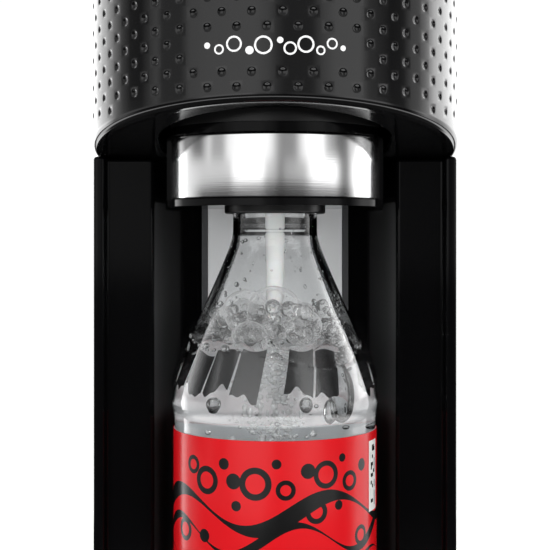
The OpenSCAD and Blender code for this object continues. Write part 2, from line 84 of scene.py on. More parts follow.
class GroupTree:
    """A shader node group in the making, with named inputs and outputs."""

    def __init__(
        self,
        name: str,
        inputs: Sequence[tuple[str, str, object]],
        outputs: Sequence[tuple[str, str]],
    ) -> None:
        """Makes the tree and its sockets.

        Args:
            name: name of the group.
            inputs: (socket name, socket type, value it has when nothing is linked).
            outputs: (socket name, socket type).
        """
        self.tree = bpy.data.node_groups.new(name, "ShaderNodeTree")
        for label, kind, value in inputs:
            socket = self.tree.interface.new_socket(name=label, in_out="INPUT", socket_type=kind)
            if value is not None:
                socket.default_value = value
        for label, kind in outputs:
            self.tree.interface.new_socket(name=label, in_out="OUTPUT", socket_type=kind)
        self.source = self.tree.nodes.new("NodeGroupInput")
        self.sink = self.tree.nodes.new("NodeGroupOutput")

    def node(self, kind: str, **settings: object) -> bpy.types.Node:
        """Adds a node and sets its properties."""
        return add_node(self.tree, kind, **settings)

    def link(self, start: bpy.types.NodeSocket, end: bpy.types.NodeSocket) -> None:
        """Links two sockets."""
        self.tree.links.new(start, end)

    def maths(self, operation: str, first: object, second: object = 0.0) -> bpy.types.NodeSocket:
        """Adds a Math node on two sockets or numbers and returns its result."""
        return maths(self.tree, operation, first, second)


def add_node(tree: bpy.types.NodeTree, kind: str, **settings: object) -> bpy.types.Node:
    """Adds a node to a tree.

    Args:
        tree: the tree that gets it.
        kind: type name of the node.
        **settings: properties to set on it.

    Returns:
        The new node.
    """
    node = tree.nodes.new(kind)
    for key, value in settings.items():
        setattr(node, key, value)
    return node


def maths(
    tree: bpy.types.NodeTree, operation: str, first: object, second: object = 0.0
) -> bpy.types.NodeSocket:
    """Adds a Math node.

    Args:
        tree: the tree that gets it.
        operation: what it does.
        first: a socket or a number.
        second: a socket or a number.

    Returns:
        Its output socket.
    """
    node = add_node(tree, "ShaderNodeMath", operation=operation)
    for socket, value in zip(node.inputs, (first, second)):
        if isinstance(value, bpy.types.NodeSocket):
            tree.links.new(value, socket)
        else:
            socket.default_value = value
    return node.outputs[0]


def make_soft_marks() -> bpy.types.NodeTree:
    """Handling marks: uneven gloss and a slight change of colour over the surface.

    Returns:
        The node group.
    """
    g = GroupTree(
        "soft_marks",
        [
            ("Base Color", "NodeSocketColor", (0.5, 0.5, 0.5, 1)),
            ("Tint", "NodeSocketColor", (0.5, 0.5, 0.5, 1)),
            ("Mix", "NodeSocketFloat", 0.3),
            ("Scale", "NodeSocketFloat", 60.0),
            ("Roughness", "NodeSocketFloat", 0.3),
            ("Spread", "NodeSocketFloat", 0.1),
        ],
        [("Color", "NodeSocketColor"), ("Roughness", "NodeSocketFloat")],
    )
    place = g.node("ShaderNodeTexCoord")
    noise = g.node("ShaderNodeTexNoise")
    noise.inputs["Detail"].default_value = 5.0
    noise.inputs["Roughness"].default_value = 0.6
    g.link(place.outputs["Object"], noise.inputs["Vector"])
    g.link(g.source.outputs["Scale"], noise.inputs["Scale"])
    off = g.maths("SUBTRACT", noise.outputs["Fac"], 0.5)
    rough = g.maths("MULTIPLY", off, g.source.outputs["Spread"])
    g.link(g.maths("ADD", rough, g.source.outputs["Roughness"]), g.sink.inputs["Roughness"])
    blend = g.node("ShaderNodeMix", data_type="RGBA")
    g.link(g.maths("MULTIPLY", noise.outputs["Fac"], g.source.outputs["Mix"]), blend.inputs[0])
    g.link(g.source.outputs["Base Color"], blend.inputs[6])
    g.link(g.source.outputs["Tint"], blend.inputs[7])
    g.link(blend.outputs[2], g.sink.inputs["Color"])
    return g.tree


def make_grain() -> bpy.types.NodeTree:
    """Fine relief, drawn out along the directions with a small Stretch.

    Returns:
        The node group.
    """
    g = GroupTree(
        "grain",
        [
            ("Stretch", "NodeSocketVector", (1.0, 1.0, 1.0)),
            ("Scale", "NodeSocketFloat", 900.0),
        ],
        [("Height", "NodeSocketFloat")],
    )
    place = g.node("ShaderNodeTexCoord")
    stretch = g.node("ShaderNodeVectorMath", operation="MULTIPLY")
    noise = g.node("ShaderNodeTexNoise")
    noise.inputs["Detail"].default_value = 3.0
    g.link(place.outputs["Object"], stretch.inputs[0])
    g.link(g.source.outputs["Stretch"], stretch.inputs[1])
    g.link(stretch.outputs[0], noise.inputs["Vector"])
    g.link(g.source.outputs["Scale"], noise.inputs["Scale"])
    g.link(noise.outputs["Fac"], g.sink.inputs["Height"])
    return g.tree


def make_sleeve_place() -> bpy.types.NodeTree:
    """Where a point of the label lies: millimetres across from the front, and up.

    Returns:
        The node group.
    """
    g = GroupTree(
        "sleeve_place",
        [("Axis Y", "NodeSocketFloat", 0.0), ("Radius", "NodeSocketFloat", 36.0)],
        [("Across", "NodeSocketFloat"), ("Up", "NodeSocketFloat")],
    )
    place = g.node("ShaderNodeTexCoord")
    split = g.node("ShaderNodeSeparateXYZ")
    g.link(place.outputs["Object"], split.inputs[0])
    depth = g.maths("SUBTRACT", g.source.outputs["Axis Y"], split.outputs["Y"])
    turn = g.maths("ARCTAN2", split.outputs["X"], depth)
    g.link(g.maths("MULTIPLY", turn, g.source.outputs["Radius"]), g.sink.inputs["Across"])
    g.link(g.maths("MULTIPLY", split.outputs["Z"], 1000.0), g.sink.inputs["Up"])
    return g.tree


def make_ink_disc() -> bpy.types.NodeTree:
    """Mask of a printed disc, or of a ring where Hollow is above nothing.

    Returns:
        The node group.
    """
    g = GroupTree(
        "ink_disc",
        [
            ("Across", "NodeSocketFloat", 0.0),
            ("Up", "NodeSocketFloat", 0.0),
            ("Centre Across", "NodeSocketFloat", 0.0),
            ("Centre Up", "NodeSocketFloat", 0.0),
            ("Radius", "NodeSocketFloat", 2.0),
            ("Hollow", "NodeSocketFloat", 0.0),
        ],
        [("Mask", "NodeSocketFloat")],
    )
    out = g.source.outputs
    dx = g.maths("SUBTRACT", out["Across"], out["Centre Across"])
    dy = g.maths("SUBTRACT", out["Up"], out["Centre Up"])
    far = g.maths("SQRT", g.maths("ADD", g.maths("POWER", dx, 2.0), g.maths("POWER", dy, 2.0)))
    inside = g.maths("LESS_THAN", far, out["Radius"])
    outside = g.maths("GREATER_THAN", far, out["Hollow"])
    g.link(g.maths("MULTIPLY", inside, outside), g.sink.inputs["Mask"])
    return g.tree


def make_ink_wave() -> bpy.types.NodeTree:
    """Mask of a printed wave line that swells and thins along its length.

    Returns:
        The node group.
    """
    g = GroupTree(
        "ink_wave",
        [
            ("Across", "NodeSocketFloat", 0.0),
            ("Up", "NodeSocketFloat", 0.0),
            ("Level", "NodeSocketFloat", 0.0),
            ("Swing", "NodeSocketFloat", 3.0),
            ("Length", "NodeSocketFloat", 40.0),
            ("Start", "NodeSocketFloat", 0.0),
            ("Thick", "NodeSocketFloat", 1.0),
        ],
        [("Mask", "NodeSocketFloat")],
    )
    out = g.source.outputs
    run = g.maths("DIVIDE", g.maths("SUBTRACT", out["Across"], out["Start"]), out["Length"])
    angle = g.maths("MULTIPLY", run, 2 * math.pi)
    line = g.maths("ADD", out["Level"], g.maths("MULTIPLY", g.maths("SINE", angle), out["Swing"]))
    off = g.maths("ABSOLUTE", g.maths("SUBTRACT", out["Up"], line))
    swell = g.maths("ADD", g.maths("MULTIPLY", g.maths("COSINE", angle), 0.42), 0.58)
    g.link(g.maths("LESS_THAN", off, g.maths("MULTIPLY", swell, out["Thick"])),
           g.sink.inputs["Mask"])
    return g.tree


class Groups:
    """The shared shader node groups, each built once."""

    soft_marks = make_soft_marks()
    grain = make_grain()
    sleeve_place = make_sleeve_place()
    ink_disc = make_ink_disc()
    ink_wave = make_ink_wave()


# ---- Finishes ----


class Shader:
    """A material in the making round one Principled BSDF."""

    def __init__(self, name: str) -> None:
        """Makes an empty node material.

        Args:
            name: name of the material.
        """
        self.material = bpy.data.materials.new(name)
        self.material.use_nodes = True
        self.tree = self.material.node_tree
        self.bsdf = self.tree.nodes["Principled BSDF"]
        self.out = self.tree.nodes["Material Output"]

    def set(self, **values: object) -> None:
        """Sets Principled sockets, named with _ for a space."""
        for key, value in values.items():
            self.bsdf.inputs[key.replace("_", " ")].default_value = value

    def group(self, tree: bpy.types.NodeTree, **values: object) -> bpy.types.Node:
        """Places a node group with its own values.

        Args:
            tree: the group.
            **values: a number, colour, vector or socket for each input, with _ for a space.

        Returns:
            The group node.
        """
        node = add_node(self.tree, "ShaderNodeGroup", node_tree=tree)
        for key, value in values.items():
            socket = node.inputs[key.replace("_", " ")]
            if isinstance(value, bpy.types.NodeSocket):
                self.tree.links.new(value, socket)
            else:
                socket.default_value = value
        return node

    def marks(self, colour: Colour, tint: Colour, mix: float, scale: float, rough: float,
              spread: float) -> None:
        """Feeds Base Color and Roughness from the handling marks.

        Args:
            colour: main colour.
            tint: colour of the marks.
            mix: how much of the tint shows.
            scale: fineness of the marks.
            rough: mean roughness.
            spread: how far the roughness strays from its mean.
        """
        node = self.group(
            Groups.soft_marks, Base_Color=(*colour, 1), Tint=(*tint, 1), Mix=mix, Scale=scale,
            Roughness=rough, Spread=spread,
        )
        self.tree.links.new(node.outputs["Color"], self.bsdf.inputs["Base Color"])
        self.tree.links.new(node.outputs["Roughness"], self.bsdf.inputs["Roughness"])

    def relief(self, stretch: Point3, scale: float, strength: float, depth: float) -> None:
        """Feeds Normal from the grain.

        Args:
            stretch: how the grain is drawn out along each axis.
            scale: fineness of the grain.
            strength: strength of the bump.
            depth: depth of the bump in metres.
        """
        grain = self.group(Groups.grain, Stretch=stretch, Scale=scale)
        bump = add_node(self.tree, "ShaderNodeBump")
        bump.inputs["Strength"].default_value = strength
        bump.inputs["Distance"].default_value = depth
        self.tree.links.new(grain.outputs["Height"], bump.inputs["Height"])
        self.tree.links.new(bump.outputs["Normal"], self.bsdf.inputs["Normal"])


@dataclass(frozen=True)
class Plastic:
    """Moulded plastic, rubber or lacquer."""

    colour: Colour
    tint: Colour
    roughness: float
    spread: float = 0.04
    mix: float = 0.5
    marks_scale: float = 45.0
    grain_scale: float = 700.0
    grain: float = 0.05
    coat: float = 0.0
    sheen: float = 0.0
    scatter: float = 0.0
    mirror: float = 0.5

    def build(self, name: str) -> bpy.types.Material:
        """Makes the material.

        Args:
            name: name of the material.

        Returns:
            The material.
        """
        s = Shader(name)
        s.marks(self.colour, self.tint, self.mix, self.marks_scale, self.roughness, self.spread)
        s.relief((1, 1, 1), self.grain_scale, self.grain, 0.0002)
        s.set(IOR=1.5, Specular_IOR_Level=self.mirror, Coat_Weight=self.coat,
              Coat_Roughness=0.03, Sheen_Weight=self.sheen)
        s.set(Subsurface_Weight=self.scatter, Subsurface_Scale=0.002)
        return s.material


class Brush(Enum):
    """Which way the tool marks on a metal run."""

    NONE = (1.0, 1.0, 1.0)
    ROUND = (0.02, 0.02, 1.0)
    UPRIGHT = (1.0, 1.0, 0.02)
    ACROSS = (0.02, 1.0, 1.0)


@dataclass(frozen=True)
class Metal:
    """Bare or plated metal with tool marks."""

    colour: Colour
    tint: Colour
    roughness: float
    brush: Brush = Brush.NONE
    spread: float = 0.08
    grain_scale: float = 1800.0
    grain: float = 0.12
    anisotropy: float = 0.0

    def build(self, name: str) -> bpy.types.Material:
        """Makes the material.

        Args:
            name: name of the material.

        Returns:
            The material.
        """
        s = Shader(name)
        s.marks(self.colour, self.tint, 0.6, 70.0, self.roughness, self.spread)
        s.relief(self.brush.value, self.grain_scale, self.grain, 0.0001)
        s.set(Metallic=1.0, Anisotropic=self.anisotropy)
        return s.material


@dataclass(frozen=True)
class Clear:
    """Clear plastic, water or a gas bubble. Light passes it to what lies behind."""

    colour: Colour
    ior: float
    roughness: float = 0.0
    grain_scale: float = 60.0
    grain: float = 0.0
    weight: float = 1.0

    def build(self, name: str) -> bpy.types.Material:
        """Makes the material.

        Args:
            name: name of the material.

        Returns:
            The material.
        """
        s = Shader(name)
        s.marks(self.colour, tuple(c * 0.97 for c in self.colour), 0.5, 120.0, self.roughness,
                0.01)
        if self.grain:
            s.relief((1, 1, 0.4), self.grain_scale, self.grain, 0.0006)
        s.set(IOR=self.ior, Transmission_Weight=self.weight)
        path = add_node(s.tree, "ShaderNodeLightPath")
        see = add_node(s.tree, "ShaderNodeBsdfTransparent")
        see.inputs["Color"].default_value = (*self.colour, 1)
        mix = add_node(s.tree, "ShaderNodeMixShader")
        either = maths(
            s.tree, "MAXIMUM", path.outputs["Is Shadow Ray"], path.outputs["Is Diffuse Ray"]
        )
        s.tree.links.new(either, mix.inputs[0])
        s.tree.links.new(s.bsdf.outputs[0], mix.inputs[1])
        s.tree.links.new(see.outputs[0], mix.inputs[2])
        s.tree.links.new(mix.outputs[0], s.out.inputs["Surface"])
        return s.material


@dataclass(frozen=True)
class InkSpot:
    """One printed disc or ring, in millimetres on the sleeve."""

    across: float
    up: float
    radius: float
    hollow: float = 0.0


@dataclass(frozen=True)
class InkWave:
    """One printed wave line, in millimetres on the sleeve."""

    level: float
    swing: float
    length: float
    start: float
    thick: float


@dataclass(frozen=True)
class Sleeve:
    """Printed label: a red ground with black waves and bubbles, and a white panel."""

    axis_y: float
    ground: Colour = (0.6, 0.0045, 0.009)
    ink: Colour = (0.004, 0.004, 0.004)
    paper: Colour = (0.78, 0.78, 0.76)
    radius: float = 35.6
    panel: tuple[float, float, float, float] = (39.5, 47.5, 171.0, 195.0)
    cell: float = 1.25
    waves: tuple[InkWave, ...] = (
        InkWave(174.0, 5.4, 57.0, 6.0, 3.3),
        InkWave(165.5, 5.0, 46.0, -4.0, 1.9),
        InkWave(157.0, 2.2, 31.0, 3.0, 0.8),
        InkWave(128.0, 4.6, 52.0, 14.0, 2.6),
        InkWave(120.0, 3.2, 40.0, 2.0, 1.2),
    )
    spots: tuple[InkSpot, ...] = (
        InkSpot(-31, 188.5, 3.1, 1.7),
        InkSpot(-24.5, 184, 4.7, 2.8),
        InkSpot(-17.5, 190, 1.9),
        InkSpot(-14, 184.5, 2.6),
        InkSpot(-6.5, 184, 5.4, 3.3),
        InkSpot(0.5, 190.5, 1.6),
        InkSpot(3.5, 182, 3.3, 1.8),
        InkSpot(11, 188, 2.5),
        InkSpot(17.5, 186.5, 4.6, 2.9),
        InkSpot(24, 191.5, 1.4),
        InkSpot(27.5, 183.5, 3.4, 1.9),
        InkSpot(34, 188, 2.1),
        InkSpot(-36, 166, 3.9, 2.3),
        InkSpot(-25.5, 165.5, 2.2),
        InkSpot(-13, 176.5, 1.7),
        InkSpot(14, 174.5, 3.9, 2.2),
        InkSpot(22.5, 176, 1.6),
        InkSpot(33.5, 164.5, 3.4, 2.0),
        InkSpot(-31, 150.5, 1.1),
        InkSpot(-24, 150.5, 1.1),
        InkSpot(-17, 150.5, 1.1),
        InkSpot(-10, 150.5, 1.1),
        InkSpot(-3, 150.5, 1.1),
        InkSpot(4, 150.5, 1.1),
        InkSpot(11, 150.5, 1.1),
        InkSpot(18, 150.5, 1.1),
    )

    def build(self, name: str) -> bpy.types.Material:
        """Makes the material.

        Args:
            name: name of the material.

        Returns:
            The material.
        """
        s = Shader(name)
        spot = s.group(Groups.sleeve_place, Axis_Y=self.axis_y, Radius=self.radius)
        across, up = spot.outputs["Across"], spot.outputs["Up"]
        ink: object = 0.0
        for disc in self.spots:
            node = s.group(
                Groups.ink_disc, Across=across, Up=up, Centre_Across=disc.across,
                Centre_Up=disc.up, Radius=disc.radius, Hollow=disc.hollow,
            )
            ink = maths(s.tree, "MAXIMUM", ink, node.outputs["Mask"])
        for wave in self.waves:
            node = s.group(
                Groups.ink_wave, Across=across, Up=up, Level=wave.level, Swing=wave.swing,
                Length=wave.length, Start=wave.start, Thick=wave.thick,
            )
            ink = maths(s.tree, "MAXIMUM", ink, node.outputs["Mask"])
        marks = s.group(
            Groups.soft_marks, Base_Color=(*self.ground, 1), Tint=(0.5, 0.004, 0.007, 1),
            Mix=0.4, Scale=90.0, Roughness=0.24, Spread=0.08,
        )
        printed = self._over(s, marks.outputs["Color"], self.ink, ink)
        papered = self._over(s, printed, self.paper, self._panel(s, across, up, 0.0))
        cells = add_node(s.tree, "ShaderNodeTexWhiteNoise", noise_dimensions="2D")
        snap = add_node(s.tree, "ShaderNodeCombineXYZ")
        for socket, value in zip(snap.inputs, (across, up)):
            step = maths(s.tree, "FLOOR", maths(s.tree, "DIVIDE", value, self.cell))
            s.tree.links.new(step, socket)
        s.tree.links.new(snap.outputs[0], cells.inputs["Vector"])
        dark = maths(s.tree, "GREATER_THAN", cells.outputs["Value"], 0.55)
        inner = maths(s.tree, "MULTIPLY", dark, self._panel(s, across, up, 1.6))
        finished = self._over(s, papered, self.ink, inner)
        s.tree.links.new(finished, s.bsdf.inputs["Base Color"])
        s.tree.links.new(marks.outputs["Roughness"], s.bsdf.inputs["Roughness"])
        s.relief((1, 1, 0.2), 160.0, 0.05, 0.0004)
        s.set(Specular_IOR_Level=0.22, Coat_Weight=0.1, Coat_Roughness=0.08)
        return s.material

    def _panel(self, s: Shader, across: bpy.types.NodeSocket, up: bpy.types.NodeSocket,
               margin: float) -> bpy.types.NodeSocket:
        """Mask of the white panel, drawn in by a margin.

        Args:
            s: the material being made.
            across: place round the sleeve.
            up: height on the sleeve.
            margin: how far the mask is drawn in.

        Returns:
            A mask that is one inside the panel.
        """
        x0, x1, z0, z1 = self.panel
        inside = maths(s.tree, "GREATER_THAN", across, x0 + margin)
        for operation, value, limit in (
            ("LESS_THAN", across, x1 - margin), ("GREATER_THAN", up, z0 + margin),
            ("LESS_THAN", up, z1 - margin),
        ):
            inside = maths(s.tree, "MULTIPLY", inside, maths(s.tree, operation, value, limit))
        return inside

    @staticmethod
    def _over(s: Shader, under: bpy.types.NodeSocket, colour: Colour, mask: object
              ) -> bpy.types.NodeSocket:
        """Lays a flat colour over another where the mask is one.

        Args:
            s: the material being made.
            under: the colour below.
            colour: the colour on top.
            mask: where the top colour shows.

        Returns:
            The mixed colour.
        """
        mix = add_node(s.tree, "ShaderNodeMix", data_type="RGBA")
        s.tree.links.new(mask, mix.inputs[0])
        s.tree.links.new(under, mix.inputs[6])
        mix.inputs[7].default_value = (*colour, 1)
        return mix.outputs[2]


@dataclass(frozen=True)
class Film:
    """Skin of a large bubble: seen at its rim, clear in its middle."""

    blend: float = 0.5
    sharpness: float = 2.2
    strength: float = 1.0

    def build(self, name: str) -> bpy.types.Material:
        """Makes the material.

        Args:
            name: name of the material.

        Returns:
            The material.
        """
        s = Shader(name)
        s.marks((0.95, 0.95, 0.95), (0.8, 0.8, 0.8), 0.5, 200.0, 0.05, 0.04)
        s.set(IOR=1.6)
        rim = add_node(s.tree, "ShaderNodeLayerWeight")
        rim.inputs["Blend"].default_value = self.blend
        see = add_node(s.tree, "ShaderNodeBsdfTransparent")
        mix = add_node(s.tree, "ShaderNodeMixShader")
        edge = maths(s.tree, "POWER", rim.outputs["Facing"], self.sharpness)
        part = maths(s.tree, "MULTIPLY", edge, self.strength)
        s.tree.links.new(part, mix.inputs[0])
        s.tree.links.new(see.outputs[0], mix.inputs[1])
        s.tree.links.new(s.bsdf.outputs[0], mix.inputs[2])
        s.tree.links.new(mix.outputs[0], s.out.inputs["Surface"])
        return s.material


@dataclass(frozen=True)
class ShadedLining:
    """Underside of the printed film, with painted shade: light at its upper edge, dim deep in the
    bottle where little light reaches.
    """

    low: float
    high: float
    light: Colour = (0.93, 0.93, 0.94)
    dim: Colour = (0.018, 0.017, 0.017)

    def build(self, name: str) -> bpy.types.Material:
        """Makes the material.

        Args:
            name: name of the material.

        Returns:
            The material.
        """
        s = Shader(name)
        # Painted shade: the base colour runs from dim up to light by height alone, between low and
        # high.
        where = add_node(s.tree, "ShaderNodeTexCoord")
        split = add_node(s.tree, "ShaderNodeSeparateXYZ")
        painted_shade_fade = add_node(s.tree, "ShaderNodeMapRange")
        painted_shade_fade.inputs["From Min"].default_value = self.low
        painted_shade_fade.inputs["From Max"].default_value = self.high
        mix = add_node(s.tree, "ShaderNodeMix", data_type="RGBA")
        mix.inputs[6].default_value = (*self.dim, 1)
        mix.inputs[7].default_value = (*self.light, 1)
        s.tree.links.new(where.outputs["Object"], split.inputs[0])
        s.tree.links.new(split.outputs["Z"], painted_shade_fade.inputs["Value"])
        s.tree.links.new(painted_shade_fade.outputs["Result"], mix.inputs[0])
        s.tree.links.new(mix.outputs[2], s.bsdf.inputs["Base Color"])
        s.set(Roughness=0.5)
        return s.material


BLACK = (0.0014, 0.0014, 0.0016)
DEEP = (0.0026, 0.0026, 0.0028)
BOTTLE_Y = (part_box("bottle_shell")[0].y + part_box("bottle_shell")[1].y) / 2


class Finish(Enum):
    """Every finish on the machine."""

    GLOSS_BLACK = Plastic(BLACK, DEEP, 0.075, 0.03, 0.5, 30.0, 260.0, 0.012)
    DIMPLED_BLACK = Plastic(BLACK, DEEP, 0.085, 0.03, 0.5, 30.0, 300.0, 0.008)
    COLUMN_BLACK = Plastic(BLACK, DEEP, 0.075, 0.03, 0.5, 30.0, 260.0, 0.012, mirror=0.1)
    SATIN_BLACK = Plastic((0.004, 0.004, 0.0042), (0.008, 0.008, 0.008), 0.34, 0.1, 0.6, 60.0,
                          1500.0, 0.14)
    FRAME_BLACK = Plastic((0.012, 0.012, 0.013), (0.022, 0.022, 0.022), 0.5, 0.12, 0.6, 80.0,
                          1200.0, 0.3)
    LIGHT_GREY = Plastic((0.88, 0.885, 0.89), (0.8, 0.805, 0.81), 0.3, 0.06, 0.5, 30.0, 900.0,
                         0.05)
    DARK_GREY = Plastic((0.075, 0.076, 0.08), (0.05, 0.05, 0.052), 0.36, 0.08, 0.5, 50.0, 1200.0,
                        0.12)
    WHITE_PLASTIC = Plastic((0.86, 0.86, 0.85), (0.78, 0.78, 0.76), 0.26, 0.05, 0.5, 60.0, 900.0,
                            0.04, 0.0, 0.0, 0.15)
    PRINT_WHITE = Plastic((0.85, 0.85, 0.85), (0.76, 0.76, 0.76), 0.3, 0.05, 0.5, 200.0, 2000.0,
                          0.03)
    RUBBER = Plastic((0.012, 0.012, 0.012), (0.024, 0.023, 0.022), 0.62, 0.15, 0.6, 120.0,
                     1500.0, 0.35, 0.0, 0.3)
    CYLINDER_PAINT = Plastic((0.12, 0.17, 0.22), (0.09, 0.13, 0.17), 0.32, 0.08, 0.5, 25.0,
                             500.0, 0.06, 0.3)
    BAND_STEEL = Metal((0.86, 0.86, 0.86), (0.78, 0.78, 0.79), 0.15, Brush.ROUND, 0.06, 2600.0,
                       0.05, 0.35)
    SHEET_STEEL = Metal((0.6, 0.61, 0.62), (0.5, 0.51, 0.53), 0.33, Brush.UPRIGHT, 0.12, 900.0,
                        0.14)
    GRILLE_STEEL = Metal((0.7, 0.7, 0.71), (0.6, 0.6, 0.61), 0.26, Brush.ACROSS, 0.1, 1600.0,
                         0.1)
    CHROME = Metal((0.9, 0.9, 0.91), (0.84, 0.84, 0.85), 0.07, Brush.NONE, 0.03, 600.0, 0.01)
    SPRING_STEEL = Metal((0.62, 0.62, 0.63), (0.5, 0.5, 0.5), 0.25, Brush.NONE, 0.1, 1500.0, 0.1)
    BRASS = Metal((0.72, 0.52, 0.22), (0.6, 0.42, 0.17), 0.24, Brush.ROUND, 0.1, 1800.0, 0.08)
    CAST_ALLOY = Metal((0.56, 0.57, 0.58), (0.44, 0.45, 0.46), 0.42, Brush.NONE, 0.15, 900.0,
                       0.4)
    CLEAR_PET = Clear((0.985, 0.992, 0.995), 1.54, 0.012, 70.0, 0.012)
    WATER = Clear((0.985, 0.99, 0.992), 1.33, 0.0, 90.0, 0.0)
    BUBBLE = Clear((1.0, 1.0, 1.0), 0.76)
    FINE_GAS = Clear((1.0, 1.0, 1.0), 0.76, 0.1, weight=0.5)
    # Painted shade: near-black tint of the sheets that darken the water behind them.
    SMOKE = Clear((0.03, 0.03, 0.032), 1.05, 0.0)
    FROTH = Clear((1.0, 1.0, 1.0), 1.38, 0.0, weight=0.97)
    FILM = Film()
    LABEL = Sleeve(BOTTLE_Y)
    # Painted shade on the label's underside: dim below 0.184 m, light above 0.192 m.
    LABEL_BACK = ShadedLining(0.184, 0.192)


MATERIALS: dict[Finish, bpy.types.Material] = {}
SLOT_FINISH = {
    "gloss_black": Finish.GLOSS_BLACK,
    "dimpled_black": Finish.DIMPLED_BLACK,
    "satin_black": Finish.SATIN_BLACK,
    "frame_black": Finish.FRAME_BLACK,
    "light_grey": Finish.LIGHT_GREY,
    "dark_grey": Finish.DARK_GREY,
    "white_plastic": Finish.WHITE_PLASTIC,
    "clear_pet": Finish.CLEAR_PET,
    "label_red": Finish.LABEL,
    "rubber": Finish.RUBBER,
    "steel_brushed": Finish.GRILLE_STEEL,
    "steel_plain": Finish.SHEET_STEEL,
    "chrome": Finish.CHROME,
    "brass": Finish.BRASS,
    "cast_alloy": Finish.CAST_ALLOY,
    "cylinder_paint": Finish.CYLINDER_PAINT,
}
NODE_SLOT = {row["node"]: row["material_slot"] for row in frame["record"]["subparts"]}


def material_of(finish: Finish) -> bpy.types.Material:
    """The one material of a finish, made the first time it is asked for.

    Args:
        finish: which surface.

    Returns:
        The material.
    """
    if finish not in MATERIALS:
        MATERIALS[finish] = finish.value.build(finish.name.lower())
    return MATERIALS[finish]


# ---- Mesh tools ----


@dataclass
class MeshDraft:
    """Points and faces of one piece, with equal points merged as they are added."""

    points: list[Point3] = field(default_factory=list)
    faces: list[tuple[int, ...]] = field(default_factory=list)
    known: dict[tuple[int, int, int], int] = field(default_factory=dict)

    def point(self, p: Sequence[float]) -> int:
        """Adds a point, or finds the equal one, and returns its number.

        Args:
            p: the point in metres.

        Returns:
            Its number.
        """
        key = (round(p[0] * 1e7), round(p[1] * 1e7), round(p[2] * 1e7))
        if key not in self.known:
            self.known[key] = len(self.points)
            self.points.append((p[0], p[1], p[2]))
        return self.known[key]

    def face(self, corners: Iterable[int]) -> None:
        """Adds a face, leaving out corners that fell together.

        Args:
            corners: numbers of its points in order.
        """
        kept: list[int] = []
        for c in corners:
            if c not in kept:
                kept.append(c)
        if len(kept) > 2:
            self.faces.append(tuple(kept))

    def strip(self, low: Sequence[int], high: Sequence[int]) -> None:
        """Adds the quads between two rows of points."""
        for i in range(len(low) - 1):
            self.face((low[i], low[i + 1], high[i + 1], high[i]))

    def build(self, name: str, sharp_deg: float = 40.0) -> bpy.types.Object:
        """Turns the draft into an object with smooth shading between soft edges.

        Args:
            name: name of the piece.
            sharp_deg: edges that turn by more than this stay sharp.

        Returns:
            The new object, linked to the scene.
        """
        mesh = bpy.data.meshes.new(name)
        mesh.from_pydata(self.points, [], self.faces)
        return object_of(name, mesh, sharp_deg)


def object_of(name: str, mesh: bpy.types.Mesh, sharp_deg: float) -> bpy.types.Object:
    """Links a mesh as an object, with its faces turned outward and shaded smooth.

    Args:
        name: name of the object.
        mesh: its mesh.
        sharp_deg: edges that turn by more than this stay sharp.

    Returns:
        The object.
    """
    bm = bmesh.new()
    bm.from_mesh(mesh)
    bmesh.ops.recalc_face_normals(bm, faces=bm.faces)
    bm.to_mesh(mesh)
    bm.free()
    mesh.shade_smooth()
    mesh.set_sharp_from_angle(angle=math.radians(sharp_deg))
    obj = bpy.data.objects.new(name, mesh)
    bpy.context.scene.collection.objects.link(obj)
    return obj


def fillet(corners: Sequence[tuple[float, float, float]], steps: int = 5) -> list[Point2]:
    """Rounds the corners of an open outline.

    Args:
        corners: (across, up, radius) of each corner, a radius of 0 keeping it.
        steps: points along each round.

    Returns:
        The rounded outline.
    """
    out: list[Point2] = []
    for i, (x, y, r) in enumerate(corners):
        here = Vector((x, y))
        if r <= 0 or i in (0, len(corners) - 1):
            out.append((x, y))
            continue
        before = (Vector(corners[i - 1][:2]) - here).normalized()
        after = (Vector(corners[i + 1][:2]) - here).normalized()
        half = before.angle(after) / 2
        reach = r / math.tan(half)
        start, end = here + before * reach, here + after * reach
        centre = here + (before + after).normalized() * (r / math.sin(half))
        for k in range(steps + 1):
            t = k / steps
            spoke = (start - centre).lerp(end - centre, t).normalized() * r
            out.append(tuple(centre + spoke))
    return out


def lathe(name: str, outline: Sequence[Point2], axis: Point2, segments: int = 96,
          arc: tuple[float, float] | None = None, closed: bool = True,
          sharp_deg: float = 40.0) -> bpy.types.Object:
    """Turns an outline about an upright axis.

    Args:
        name: name of the piece.
        outline: (radius, height) points.
        axis: (x, y) of the axis.
        segments: steps round the turn.
        arc: first and last angle in degrees from +X, or None for a whole turn.
        closed: whether the last outline point joins the first.
        sharp_deg: edges that turn by more than this stay sharp.

    Returns:
        The new piece.
    """
    draft = MeshDraft()
    first, last = arc or (0.0, 360.0)
    rows: list[list[int]] = []
    for k in range(segments + 1):
        a = math.radians(first + (last - first) * k / segments)
        c, s = math.cos(a), math.sin(a)
        rows.append([draft.point((axis[0] + r * c, axis[1] + r * s, z)) for r, z in outline])
        if closed:
            rows[-1].append(rows[-1][0])
    for a_row, b_row in zip(rows, rows[1:]):
        draft.strip(a_row, b_row)
    if arc and closed:
        draft.face(rows[0][:-1])
        draft.face(reversed(rows[-1][:-1]))
    return draft.build(name, sharp_deg)


